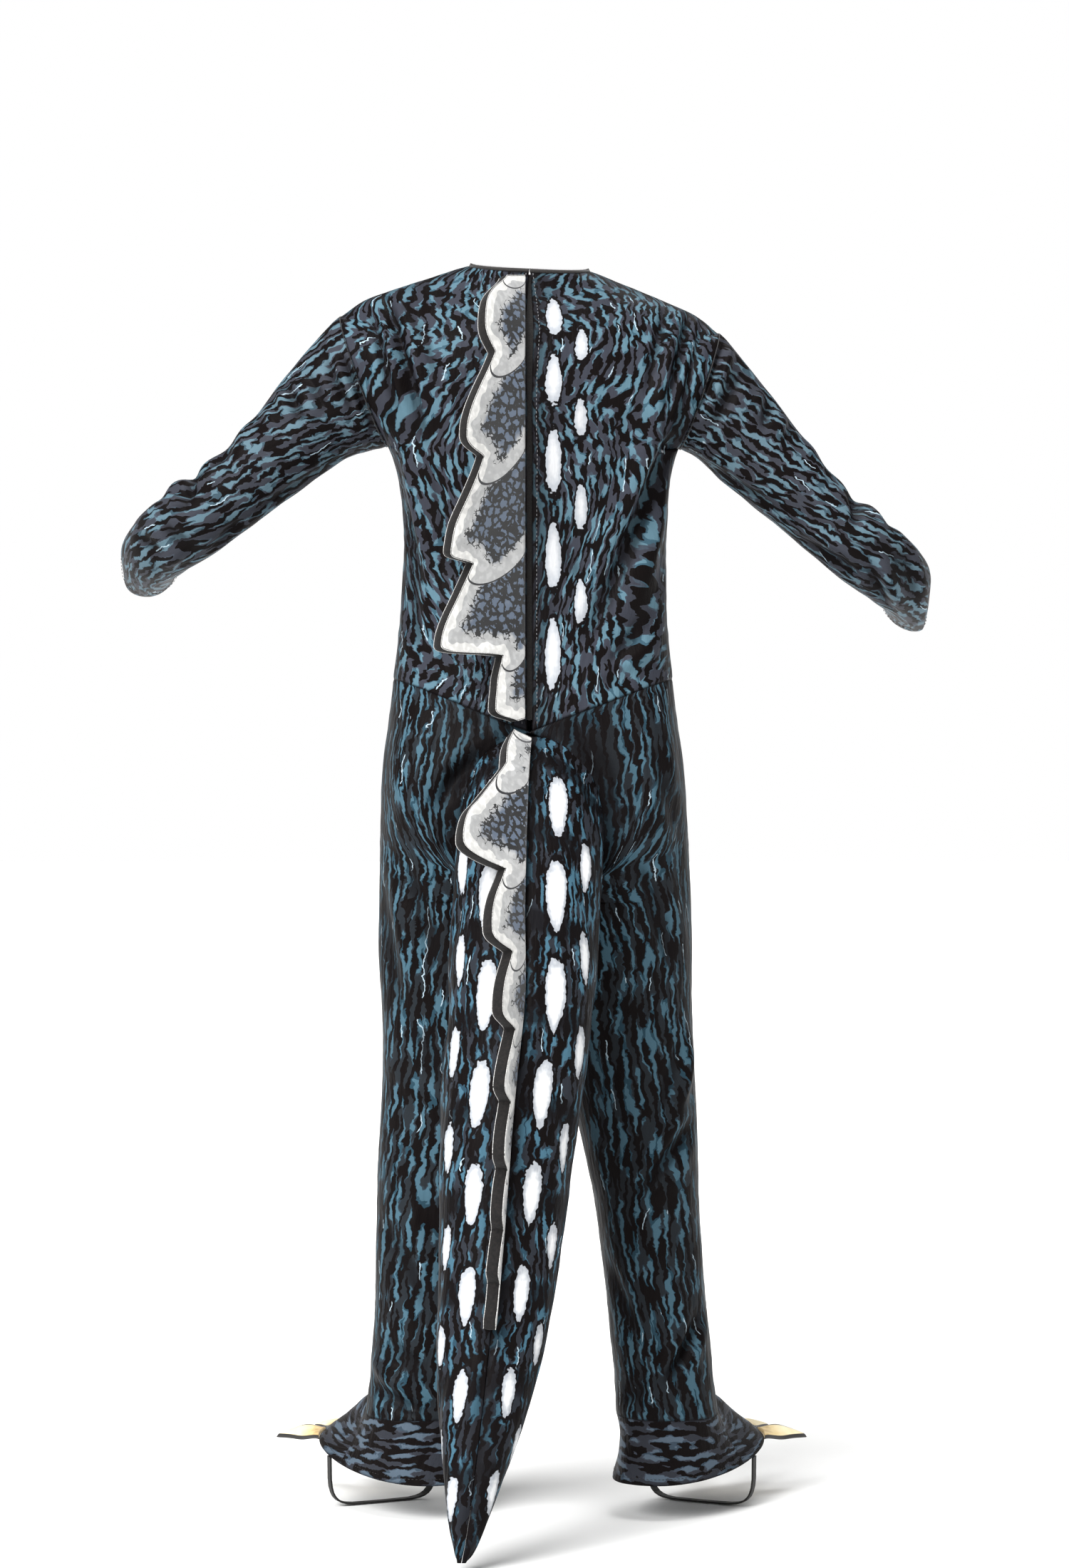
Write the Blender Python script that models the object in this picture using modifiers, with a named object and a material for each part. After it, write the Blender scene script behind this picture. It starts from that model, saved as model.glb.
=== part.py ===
"""A reptile costume: a jumpsuit with a stuffed tail, a foam crest, foot covers and claws.

Metres, +Z up. The back of the garment faces -Y, the front +Y, and its left side lies at -X.
The origin is in the neck opening, ORIGIN_HEIGHT above the ground. "Height" is above the ground.
Every cloth piece is a grid worked out by a surface function of (u, v) and given a wall.
"""

import functools
import math
from collections import namedtuple

import bpy
import numpy as np

ORIGIN_HEIGHT = 1.0     # the neck opening above the ground
CLOTH = 0.0015          # wall of the knitted cloth
SEAM = 0.00045          # space between two pieces along the middle of their walls
OPENING = 0.003         # space between the two back panels at the centre back
LEFT, RIGHT = -1, 1
SIDES = {"left": LEFT, "right": RIGHT}

CLOTH_COLOUR = (0.055, 0.075, 0.095)
CREST_COLOUR = (0.42, 0.43, 0.44)
CLAW_COLOUR = (0.72, 0.60, 0.36)
TRIM_COLOUR = (0.012, 0.011, 0.012)

# Torso sections, from the seat up to the neck opening
Torso = namedtuple("Torso", "height half_width back_y front_y")
TORSO = (
    Torso(0.500, 0.1265, -0.074, 0.070),
    Torso(0.560, 0.1245, -0.084, 0.078),
    Torso(0.620, 0.1205, -0.086, 0.080),
    Torso(0.650, 0.1165, -0.082, 0.078),
    Torso(0.680, 0.1130, -0.078, 0.076),
    Torso(0.720, 0.1090, -0.072, 0.074),
    Torso(0.763, 0.1070, -0.069, 0.073),
    Torso(0.800, 0.1065, -0.070, 0.074),
    Torso(0.830, 0.1085, -0.074, 0.077),
    Torso(0.868, 0.1175, -0.080, 0.079),
    Torso(0.910, 0.1430, -0.081, 0.077),
    Torso(0.950, 0.1520, -0.076, 0.070),
    Torso(0.980, 0.1380, -0.063, 0.060),
    Torso(1.006, 0.0486, -0.046, 0.048),
)

# The ridge of the shoulder, from the top of the armhole to the neck
Ridge = namedtuple("Ridge", "t x height")
SHOULDER = (
    Ridge(0.00, 0.1530, 0.968),
    Ridge(0.20, 0.1360, 0.981),
    Ridge(0.45, 0.1120, 0.991),
    Ridge(0.72, 0.0800, 1.003),
    Ridge(1.00, 0.0486, 1.014),
)

# Heights along the middle of the bodice at the waist seam, armpit, shoulder point and neck
BACK_MIDDLE = (0.636, 0.860, 0.955, 1.006)
FRONT_MIDDLE = (0.668, 0.862, 0.930, 0.972)
WAIST_SIDE = 0.680
BOXINESS = 0.80         # 1 gives an elliptical section, less gives fuller sides
THINNING = (0.0, 0.0, 0.35, 0.15)       # how much thinner the sections' sides are at those four
ARMPIT = np.array((0.1175, 0.0, 0.868))
SHOULDER_POINT = np.array((0.1530, 0.0, 0.968))
ARMHOLE_HALF_DEPTH = 0.043
ARMHOLE_BULGE = 0.004

# Sleeve sections for the right arm, which is raised sideways and bent forward at the elbow
Arm = namedtuple("Arm", "t x y height half_up half_across")
ARM = (
    Arm(0.00, 0.1355, 0.000, 0.916, 0.0500, 0.0430),
    Arm(0.13, 0.1610, 0.001, 0.897, 0.0425, 0.0400),
    Arm(0.27, 0.1890, 0.003, 0.870, 0.0362, 0.0360),
    Arm(0.41, 0.2170, 0.005, 0.843, 0.0312, 0.0325),
    Arm(0.55, 0.2450, 0.007, 0.818, 0.0290, 0.0305),
    Arm(0.68, 0.2740, 0.014, 0.798, 0.0302, 0.0300),
    Arm(0.80, 0.2990, 0.042, 0.782, 0.0282, 0.0280),
    Arm(0.90, 0.3140, 0.080, 0.771, 0.0250, 0.0262),
    Arm(1.00, 0.3230, 0.124, 0.763, 0.0220, 0.0255),
)
CUFF_SLANT = 0.020      # how far the cuff reaches further on its under side

# Sections of the right leg, from the seam above the foot cover to the crotch
Leg = namedtuple("Leg", "height outer_x inner_x back_y front_y")
LEG = (
    Leg(0.082, 0.1530, 0.0710, -0.050, 0.040),
    Leg(0.110, 0.1490, 0.0695, -0.051, 0.040),
    Leg(0.150, 0.1455, 0.0660, -0.052, 0.042),
    Leg(0.200, 0.1410, 0.0605, -0.053, 0.045),
    Leg(0.273, 0.1370, 0.0500, -0.053, 0.050),
    Leg(0.333, 0.1355, 0.0370, -0.055, 0.055),
    Leg(0.400, 0.1310, 0.0220, -0.061, 0.060),
    Leg(0.450, 0.1285, 0.0120, -0.067, 0.065),
    Leg(0.500, 0.1265, 0.0045, -0.074, 0.070),
)
HEM = LEG[0].height
CROTCH = LEG[-1].height
INSTEP_RISE = 0.034     # how much higher the leg's hem runs in front than at the heel

# The pose: how far each height leans towards +X at its sides, for the left and right leg
Sway = namedtuple("Sway", "height left right")
SWAY = (
    Sway(0.000, 0.0200, 0.0000),
    Sway(0.120, 0.0195, 0.0000),
    Sway(0.150, 0.0190, 0.0000),
    Sway(0.200, 0.0160, 0.0000),
    Sway(0.270, 0.0135, 0.0000),
    Sway(0.333, 0.0150, 0.0000),
    Sway(0.390, 0.0125, 0.0010),
    Sway(0.450, 0.0065, 0.0030),
    Sway(0.500, 0.0045, 0.0045),
    Sway(0.600, 0.0030, 0.0030),
    Sway(0.720, 0.0030, 0.0030),
    Sway(0.800, 0.0045, 0.0045),
    Sway(0.840, 0.0040, 0.0040),
    Sway(0.900, 0.0020, 0.0020),
    Sway(0.960, 0.0000, 0.0000),
)
SHOULDER_TILT = 0.045   # the left shoulder and arm are held higher than the right

# The opening in the seat that the tail is sewn into
TAIL_SEAT_HEIGHT = 0.568
TAIL_SEAT_HALF_WIDTH = 0.056
TAIL_SEAT_HALF_HEIGHT = 0.0655
UNDER_SEAT_SHARE = 0.25     # share of the centre seam that runs under the tail
CENTRE_GAP = 0.0009         # half the space between two legs at the centre seams
FRONT_SEAM = 0.0029         # where the two front panels end, as a share of the half front

# Tail sections: the crest line on top, the seam underneath, and the half width
Tail = namedtuple("Tail", "top_height top_y under_height under_y x half_width")
TAIL = (
    Tail(0.6320, -0.084, 0.5040, -0.078, 0.000, 0.0555),
    Tail(0.6080, -0.128, 0.4820, -0.092, -0.002, 0.0580),
    Tail(0.5660, -0.163, 0.4600, -0.105, -0.004, 0.0590),
    Tail(0.5080, -0.190, 0.4280, -0.116, -0.006, 0.0580),
    Tail(0.4400, -0.212, 0.3900, -0.127, -0.008, 0.0565),
    Tail(0.3520, -0.234, 0.3220, -0.144, -0.015, 0.0535),
    Tail(0.2600, -0.250, 0.2400, -0.166, -0.022, 0.0480),
    Tail(0.1800, -0.264, 0.1660, -0.193, -0.029, 0.0415),
    Tail(0.1150, -0.276, 0.1040, -0.221, -0.036, 0.0315),
    Tail(0.0580, -0.283, 0.0520, -0.247, -0.043, 0.0195),
    Tail(0.0240, -0.283, 0.0200, -0.264, -0.048, 0.0095),
    Tail(0.0080, -0.279, 0.0070, -0.273, -0.051, 0.0030),
)

# Crest plates, each swept towards the tail's end: heights at its two ends, the width of the
# crest where the plate starts and its width at the tip
Plate = namedtuple("Plate", "upper lower valley reach")
BACK_PLATES = (
    Plate(1.000, 0.940, 0.020, 0.044),
    Plate(0.940, 0.870, 0.032, 0.066),
    Plate(0.870, 0.788, 0.046, 0.086),
    Plate(0.788, 0.700, 0.058, 0.093),
    Plate(0.700, 0.645, 0.024, 0.032),
)
TAIL_PLATES = (
    Plate(0.624, 0.600, 0.018, 0.024),
    Plate(0.600, 0.528, 0.024, 0.070),
    Plate(0.528, 0.466, 0.022, 0.044),
    Plate(0.466, 0.408, 0.018, 0.038),
    Plate(0.408, 0.354, 0.015, 0.032),
    Plate(0.354, 0.304, 0.013, 0.027),
    Plate(0.304, 0.258, 0.011, 0.022),
    Plate(0.258, 0.218, 0.009, 0.018),
    Plate(0.218, 0.184, 0.008, 0.014),
)
CREST_THICKNESS = 0.008
CREST_END = 0.008       # width of the crest at its lower end
CREST_SWEEP = math.radians(18)
CREST_LEFT_OF_MIDDLE = 0.006
PLATE_TIP = 0.72        # where the tip lies along a plate
PLATE_ROWS = (0.0, 0.14, 0.30, 0.46, 0.60, 0.72, 0.80, 0.88, 0.95)
Lean = namedtuple("Lean", "height degrees")
LEAN = (
    Lean(0.182, 3),
    Lean(0.300, 8),
    Lean(0.400, 20),
    Lean(0.480, 36),
    Lean(0.560, 50),
    Lean(0.640, 50),
    Lean(1.000, 48),
)

# Foot covers, in a frame turned outwards with the foot
FOOT_TURN = math.radians(30)
FOOT_HEM_HEIGHT = 0.030
FOOT_TOE_LIFT = 0.026
FOOT_HALF_WIDTH = 0.050
FOOT_BEHIND = 0.050
FOOT_AHEAD = 0.126
STRAP_WIDTH = 0.007
STRAP_THICKNESS = 0.0015
STRAP_FORWARD = 0.060
STRAP_HEIGHT = 0.002    # the middle of the strap where it runs under the sole
STRAP_GAP = 0.0006
CLAW_LENGTH = 0.044
CLAW_HALF_WIDTH = 0.0115
CLAW_THICKNESS = 0.003
CLAW_ANGLES = (-30, 0, 30)

BINDING_RADIUS = 0.0017
TAPE_THICKNESS = 0.0012
TAPE_REACH = 0.055      # how far the tape reaches each way, as a share of the half back

# The largest folds, as soft ridges (+) and troughs (-) on the back (-1) or front (+1)
Fold = namedtuple("Fold", "x1 height1 x2 height2 width depth face")
BACK, FRONT = -1, 1
BODICE_FOLDS = (
    Fold(0.090, 0.850, 0.030, 0.680, 0.011, 0.0035, BACK),
    Fold(0.065, 0.860, 0.012, 0.700, 0.010, -0.0030, BACK),
    Fold(-0.095, 0.850, -0.060, 0.700, 0.011, 0.0025, BACK),
    Fold(0.080, 0.840, 0.020, 0.720, 0.012, 0.0030, FRONT),
    Fold(-0.080, 0.840, -0.030, 0.730, 0.012, 0.0030, FRONT),
)
SLEEVE_FOLDS = (
    Fold(0.172, 0.925, 0.160, 0.865, 0.008, -0.0030, BACK),
    Fold(0.196, 0.905, 0.184, 0.850, 0.008, -0.0026, BACK),
    Fold(0.214, 0.888, 0.204, 0.842, 0.009, 0.0022, BACK),
    Fold(0.258, 0.858, 0.288, 0.800, 0.010, 0.0040, BACK),
    Fold(0.272, 0.838, 0.248, 0.806, 0.008, -0.0030, BACK),
    Fold(0.180, 0.905, 0.172, 0.860, 0.010, -0.0030, FRONT),
    Fold(0.262, 0.836, 0.244, 0.800, 0.010, -0.0040, FRONT),
)
LEG_FOLDS = (
    Fold(0.010, 0.625, 0.070, 0.560, 0.013, -0.0040, BACK),
    Fold(0.095, 0.300, 0.080, 0.180, 0.012, -0.0030, BACK),
    Fold(0.135, 0.250, 0.120, 0.140, 0.011, 0.0030, BACK),
    Fold(0.125, 0.130, 0.090, 0.105, 0.010, 0.0035, BACK),
    Fold(0.100, 0.330, 0.060, 0.240, 0.013, -0.0035, FRONT),
    Fold(0.130, 0.120, 0.085, 0.105, 0.011, 0.0040, FRONT),
)


@functools.lru_cache(maxsize=None)
def column(rows, key, name):
    """One column of a table against another, in rising order, with the slope at each row."""
    xs = np.array([getattr(row, key) for row in rows])
    ys = np.array([getattr(row, name) for row in rows])
    if xs[0] > xs[-1]:
        xs, ys = xs[::-1], ys[::-1]
    return xs, ys, np.gradient(ys, xs)


def smooth(rows, key, name, at):
    """The column `name` of a table where its column `key` equals `at`, on a smooth curve."""
    xs, ys, slopes = column(rows, key, name)
    i = min(max(int(np.searchsorted(xs, at)) - 1, 0), len(xs) - 2)
    span = xs[i + 1] - xs[i]
    t = min(max((at - xs[i]) / span, 0.0), 1.0)
    return (
        ys[i] * (1 + 2 * t) * (1 - t) ** 2
        + slopes[i] * span * t * (1 - t) ** 2
        + ys[i + 1] * t * t * (3 - 2 * t)
        - slopes[i + 1] * span * t * t * (1 - t)
    )


def ease(t):
    """0 below 0, 1 above 1, and a smooth step between."""
    t = min(max(t, 0.0), 1.0)
    return t * t * (3 - 2 * t)


def unit(vector):
    return vector / np.linalg.norm(vector)


def normal_at(surface, u, v, step=1e-3):
    """Unit normal of a surface function, found from four points close by."""
    across = surface(u + step, v) - surface(u - step, v)
    up = surface(u, v + step) - surface(u, v - step)
    return unit(np.cross(across, up))


def fold_depth(point, facing, folds):
    """How far the folds move a point outwards; `facing` is the Y part of the outward normal."""
    total = 0.0
    for fold in folds:
        start = np.array((fold.x1, fold.height1))
        run = np.array((fold.x2, fold.height2)) - start
        here = np.array((point[0], point[2] + ORIGIN_HEIGHT)) - start
        along = np.clip(here @ run / (run @ run), 0.0, 1.0)
        away = np.linalg.norm(here - along * run)
        taper = 0.35 + 0.65 * math.sin(math.pi * along)
        seen = ease(1.6 * facing * fold.face)
        total += fold.depth * taper * seen * math.exp(-((away / fold.width) ** 2))
    return total


def folded(surface, outward, folds, mirror=1):
    """The surface with its folds. `outward` is the sign that turns its normal outwards."""

    def moved(u, v):
        point = surface(u, v)
        normal = outward * normal_at(surface, u, v)
        seen_from = point * np.array((mirror, 1, 1))
        return point + normal * fold_depth(seen_from, normal[1], folds)

    return moved


def posed(point, leg="right"):
    """A point moved from the upright, even garment into the stance it is held in."""
    height, aside = point[2] + ORIGIN_HEIGHT, abs(point[0])
    on_arm = ease((aside - 0.118) / 0.04)
    near_middle = 1 - ease((aside - 0.02) / 0.07)
    sway = smooth(SWAY, "height", leg, height) * (1 - ease((height - 0.40) / 0.10) * near_middle)
    raised = 1 - (1 - ease((height - 0.84) / 0.10)) * (1 - on_arm * (height > 0.70))
    return np.array((
        point[0] + sway * (1 - on_arm * (height > 0.70)),
        point[1],
        point[2] - SHOULDER_TILT * point[0] * raised,
    ))


def torso(name, height):
    return smooth(TORSO, "height", name, height)


def armhole(angle):
    """A point of the right armhole: 0 at the armpit, pi at the shoulder point, back first."""
    share = (1 - math.cos(angle)) / 2
    point = ARMPIT * (1 - share) + SHOULDER_POINT * share
    bulge = ARMHOLE_BULGE * abs(math.sin(angle))
    return point + np.array((bulge, -ARMHOLE_HALF_DEPTH * math.sin(angle), 0.0))


def arch(angle, thin):
    """Depth of a section: 1 in the middle, falling to 0 a quarter turn away."""
    return max(math.cos(angle), 0.0) ** BOXINESS * (1 - thin * math.sin(angle) ** 2)


def bodice_edge(v, face):
    """The outer edge of a right half panel: side seam, armhole, then shoulder seam."""
    if v <= 1:
        height = WAIST_SIDE + (ARMPIT[2] - WAIST_SIDE) * v
        return np.array((torso("half_width", height), 0.0, height))
    if v <= 2:
        return armhole(-face * math.pi * (v - 1))
    x = smooth(SHOULDER, "t", "x", v - 2)
    return np.array((x, 0.0, smooth(SHOULDER, "t", "height", v - 2)))


def bodice_half(u, v, face):
    """The right half of the back or front: u from the middle to the edge, v from 0 to 3."""
    v = min(max(v, 0.0), 3.0)
    heights = BACK_MIDDLE if face == BACK else FRONT_MIDDLE
    middle = float(np.interp(v, range(4), heights))
    depth = torso("back_y" if face == BACK else "front_y", middle)
    if v > 2.0:
        neck_y = TORSO[-1].back_y if face == BACK else TORSO[-1].front_y
        depth += (neck_y - depth) * ease(v - 2.0) * 0.6
    edge = bodice_edge(v, face)
    open_side = math.sin(math.pi * (v - 1)) if 1 < v < 2 else 0.0
    end = math.radians(90 - 32 * open_side)
    angle = u * end
    across = math.sin(angle) / math.sin(end)
    thin = float(np.interp(v, range(4), THINNING))
    round_off = (1 - arch(angle, thin)) / (1 - arch(end, thin))
    straight = 1 - ease(v / 0.6)
    lift = straight * across + (1 - straight) * round_off
    return np.array((
        edge[0] * across,
        depth + (edge[1] - depth) * round_off,
        middle + (edge[2] - middle) * lift - ORIGIN_HEIGHT,
    ))


def bodice(u, v, face):
    """The whole back or front: u from -1 at the left edge to 1 at the right edge."""
    point = bodice_half(abs(u), v, face)
    point[0] *= math.copysign(1, u)
    return point


def back_surface(u, v):
    return folded(lambda a, b: bodice(a, b, BACK), 1, BODICE_FOLDS)(u, v)


def front_surface(u, v):
    return folded(lambda a, b: bodice(a, b, FRONT), -1, BODICE_FOLDS)(u, v)


def arm_frame(t):
    """Centre of the sleeve at t, its direction, and the under and back directions across it."""
    def centre(at):
        at = min(max(at, 0.0), 1.0)
        names = ("x", "y", "height")
        return np.array([smooth(ARM, "t", name, at) for name in names])

    along = unit(centre(t + 0.02) - centre(t - 0.02))
    down = np.array((0.0, 0.0, -1.0))
    under = unit(down - along * (down @ along))
    return centre(t), along, under, np.cross(under, along)


def right_sleeve(u, t):
    """The right sleeve: u once round from the underarm over the back, t from armhole to cuff."""
    angle = 2 * math.pi * u
    t = min(max(t, 0.0), 1.0)
    centre, along, under, back = arm_frame(t)
    half_up = smooth(ARM, "t", "half_up", t)
    half_across = smooth(ARM, "t", "half_across", t)
    ring = centre + under * half_up * math.cos(angle) + back * half_across * math.sin(angle)
    ring = ring + along * CUFF_SLANT * ease((t - 0.8) / 0.2) * math.cos(angle)
    ahead = 2 * SEAM + 0.0012 * (1 + math.cos(angle)) / 2 + 0.0004 * max(-math.sin(angle), 0.0)
    start = armhole(angle) + np.array((ahead, 0.0, 0.0))
    share = ease(t / 0.22)
    return start * (1 - share) + ring * share - np.array((0.0, 0.0, ORIGIN_HEIGHT))


def sleeve_surface(side):
    def surface(u, t):
        point = folded(right_sleeve, -1, SLEEVE_FOLDS)(u, t)
        return point * np.array((side, 1, 1))

    return surface


def tail_seat(share, back_y):
    """The right edge of the tail's opening: 0 below, 1 at the waist seam."""
    angle = math.pi * (1 - share)
    x = TAIL_SEAT_HALF_WIDTH * math.sin(angle)
    height = TAIL_SEAT_HEIGHT + TAIL_SEAT_HALF_HEIGHT * math.cos(angle)
    return np.array((x, back_y, height))


def rise(t, face):
    """The inner edge of a leg panel above the crotch: t from the crotch to the waist seam."""
    x = LEG[-1].inner_x + (CENTRE_GAP - LEG[-1].inner_x) * ease(t / 0.08)
    crotch = np.array((x, 0.0, CROTCH - 0.002))
    if face == BACK:
        if t < UNDER_SEAT_SHARE:
            share = t / UNDER_SEAT_SHARE
            below = np.array((x, torso("back_y", CROTCH) * 0.95, CROTCH + 0.002))
            return crotch * (1 - share) + below * share
        share = (t - UNDER_SEAT_SHARE) / (1 - UNDER_SEAT_SHARE)
        point = tail_seat(share, 0.0)
        return np.array((max(point[0], x), torso("back_y", point[2]), point[2]))
    height = crotch[2] + (FRONT_MIDDLE[0] - crotch[2]) * t**1.3
    return np.array((x, torso("front_y", height) * ease(t / 0.35) ** 0.65, height))


def right_leg(u, v, face):
    """Half of the right leg: u from the side seam to the inner edge, v 0 hem, 1 crotch, 2 waist."""
    u, v = min(max(u, 0.0), 1.0), min(max(v, 0.0), 2.0)
    depth_name = "back_y" if face == BACK else "front_y"
    if v <= 1:
        height = HEM + (CROTCH - HEM) * v
        outer, inner, depth = (
            smooth(LEG, "height", name, height) for name in ("outer_x", "inner_x", depth_name)
        )
        outer = np.array((outer, 0.0, height))
        inner = np.array((inner, 0.0, height))
    else:
        height = CROTCH + (WAIST_SIDE - CROTCH) * (v - 1)
        depth = torso(depth_name, height)
        outer = np.array((torso("half_width", height), 0.0, height))
        inner = rise(v - 1, face)
    angle = math.pi * u
    middle = (outer[0] + inner[0]) / 2
    side = outer if u < 0.5 else inner
    out, bulge = abs(math.cos(angle)), math.sin(angle) ** 0.9
    if u > 0.5 and v > 1:
        flat = ease((v - 1.1) / 0.5) if face == FRONT else ease((v - 1) / 0.12)
        out += (2 * u - 1 - out) * flat
        bulge += (1 - ease(2 * u - 1) - bulge) * flat / 2
    lift = (1 - math.cos(angle)) / 2
    point = np.array((
        middle + out * (side[0] - middle),
        side[1] + (depth - side[1]) * bulge,
        outer[2] + (inner[2] - outer[2]) * lift - ORIGIN_HEIGHT,
    ))
    if face == FRONT and v < 1:
        point[2] += INSTEP_RISE * math.sin(angle) ** 2 * (1 - v) ** 4
    at_waist = ease((v - 1.55) / 0.45)
    if at_waist > 0:
        seam = bodice_half(1 - u, 0.0, face) - np.array((0.0, 0.0, SEAM + 0.0002))
        point = point * (1 - at_waist) + seam * at_waist
    point[0] = max(point[0], CENTRE_GAP)
    return point


def leg_surface(side, face):
    def surface(u, v):
        point = folded(lambda a, b: right_leg(a, b, face), face, LEG_FOLDS)(u, v)
        if v <= 1 or u < 0.5:
            point[1] += face * SEAM / 2
        return point * np.array((side, 1, 1))

    return surface


def to_foot(side, across, forward, height):
    """A point given in the turned frame of one foot."""
    centre_x = side * (LEG[0].outer_x + LEG[0].inner_x) / 2
    turn = math.sin(FOOT_TURN), math.cos(FOOT_TURN)
    x = centre_x + side * (across * turn[1] + forward * turn[0])
    y = -0.005 + forward * turn[1] - across * turn[0]
    return np.array((x, y, height - ORIGIN_HEIGHT))


def cover_hem(side, angle, inside=0.0):
    """A point of a foot cover's lower edge; 0 is its outer side, a quarter turn its heel."""
    middle = (FOOT_AHEAD - FOOT_BEHIND) / 2
    reach = (FOOT_AHEAD + FOOT_BEHIND) / 2 - inside
    across = (FOOT_HALF_WIDTH - inside) * math.copysign(abs(math.cos(angle)) ** 0.85, math.cos(angle))
    forward = middle - reach * math.sin(angle)
    lift = FOOT_TOE_LIFT * ((1 - math.sin(angle)) / 2) ** 1.5
    return to_foot(side, across, forward, FOOT_HEM_HEIGHT + lift)


def cover_surface(side):
    """A foot cover: u once round from the outer side over the heel, t from seam to hem."""
    def surface(u, t):
        angle = 2 * math.pi * u
        face = BACK if math.sin(angle) >= 0 else FRONT
        share = (angle / math.pi) if face == BACK else 2 - angle / math.pi
        share = min(max(share, 0.0), 1.0)
        leg = leg_surface(side, face)
        top = leg(share, 0.0)
        clear = SEAM * (1.3 + 2.2 * max(-math.sin(angle), 0.0) ** 0.6)
        top = top + unit(top - leg(share, 0.01)) * clear
        hem = cover_hem(side, angle)
        return top * (1 - t) + hem * t

    return surface


def tail_point(side, row, turn):
    """A point of a tail section: turn 0 at the crest line, 1 at the seam underneath."""
    at = row * (len(TAIL) - 1)
    i = min(int(at), len(TAIL) - 2)
    share = at - i
    values = {}
    for name in Tail._fields:
        column = np.array([getattr(section, name) for section in TAIL])
        slopes = np.gradient(column)
        rise_in, rise_out = slopes[i], slopes[i + 1]
        values[name] = (
            column[i] * (1 + 2 * share) * (1 - share) ** 2
            + rise_in * share * (1 - share) ** 2
            + column[i + 1] * share * share * (3 - 2 * share)
            - rise_out * share * share * (1 - share)
        )
    top = np.array((values["top_y"], values["top_height"]))
    under = np.array((values["under_y"], values["under_height"]))
    angle = math.pi * turn
    y, height = (top + under) / 2 + (top - under) / 2 * math.cos(angle)
    if at < 1:
        first = TAIL[0]
        cosine = (1 + math.cos(angle)) / 2
        root_y = first.under_y + (first.top_y - first.under_y) * cosine
        root_height = first.under_height + (first.top_height - first.under_height) * cosine
        seat_y = torso("back_y", root_height) - CLOTH / 2 - SEAM
        y += (1 - ease(at)) * (seat_y - root_y)
    x = values["x"] + side * (SEAM / 2 + values["half_width"] * math.sin(angle) ** 0.94)
    return np.array((x, y, height - ORIGIN_HEIGHT))


def tail_top(height):
    """Point, downward direction and outward normal of the tail's crest line at a height."""
    def on_line(at):
        return np.array((
            smooth(TAIL, "top_height", "x", at),
            smooth(TAIL, "top_height", "top_y", at),
            at - ORIGIN_HEIGHT,
        ))

    down = unit(on_line(height - 0.004) - on_line(height + 0.004))
    return on_line(height), down, unit(np.cross(np.array((-1.0, 0.0, 0.0)), down))


def back_line(height):
    """Point, downward direction and outward normal of the left edge of the back opening."""
    def on_line(at):
        shares = np.interp(at, BACK_MIDDLE, range(4))
        point = bodice(-CREST_LEFT_OF_MIDDLE / 0.17, shares, BACK)
        return np.array((-CREST_LEFT_OF_MIDDLE, point[1], at - ORIGIN_HEIGHT))

    down = unit(on_line(height - 0.004) - on_line(height + 0.004))
    return on_line(height), down, unit(np.cross(np.array((-1.0, 0.0, 0.0)), down))


def plate_width(plate, end, share):
    """Width of the crest along one plate, which rises slowly to a round tip and then falls."""
    start, rising = plate.valley, share / PLATE_TIP
    if share > PLATE_TIP:
        start, rising = end, (1 - share) / (1 - PLATE_TIP)
    return start + (plate.reach - start) * math.sin(rising * math.pi / 2) ** 1.2


def crest_rows(plates):
    """Height on the spine and width of the crest, from its upper to its lower end."""
    rows = []
    ends = [plate.valley for plate in plates[1:]] + [CREST_END]
    for plate, end in zip(plates, ends):
        for share in PLATE_ROWS:
            height = plate.upper + (plate.lower - plate.upper) * share
            rows.append((height, plate_width(plate, end, share)))
    rows.append((plates[-1].lower, CREST_END))
    return rows


def crest_surface(line, plates):
    """The middle of a crest's foam: u from its sewn edge to its outline, v along the rows."""
    rows = crest_rows(plates)

    def surface(u, v):
        height, width = rows[round(v * (len(rows) - 1))]
        point, down, outward = line(height)
        lean = math.radians(smooth(LEAN, "height", "degrees", height))
        stand = outward * math.cos(lean) + np.array((-1.0, 0.0, 0.0)) * math.sin(lean)
        lift = CLOTH / 2 + 0.0006 + CREST_THICKNESS / 2 * math.sin(lean)
        foot = point + outward * lift
        sweep = unit(stand * math.cos(CREST_SWEEP) + down * math.sin(CREST_SWEEP))
        return foot + sweep * width * u

    return surface, len(rows)


def claw_outline(share):
    """Half width and sideways bend of a claw at a share of its length."""
    return CLAW_HALF_WIDTH * (1 - share) ** 0.6, 0.006 * share * share


def claw_surface(side, degrees):
    """A flat claw that starts just ahead of the foot cover's lower edge."""
    angle = math.radians(270 + degrees)
    heading = FOOT_TURN + math.radians(degrees) * 0.7
    ahead = np.array((side * math.sin(heading), math.cos(heading), 0.0))
    across = np.array((side * math.cos(heading), -math.sin(heading), 0.0))
    half_turn = CLAW_HALF_WIDTH / FOOT_HALF_WIDTH

    def surface(u, v):
        half_width, bend = claw_outline(v * 0.97)
        straight = cover_hem(side, angle) + across * CLAW_HALF_WIDTH * u
        curved = cover_hem(side, angle + half_turn * u)
        root = straight + (curved - straight) * (1 - v) ** 2 + ahead * 0.0009
        drop = 0.010 - 0.006 * v * v
        beside = across * ((half_width - CLAW_HALF_WIDTH) * u + bend)
        return root + ahead * CLAW_LENGTH * v + beside + np.array((0.0, 0.0, drop - 0.010))

    return surface


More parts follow.
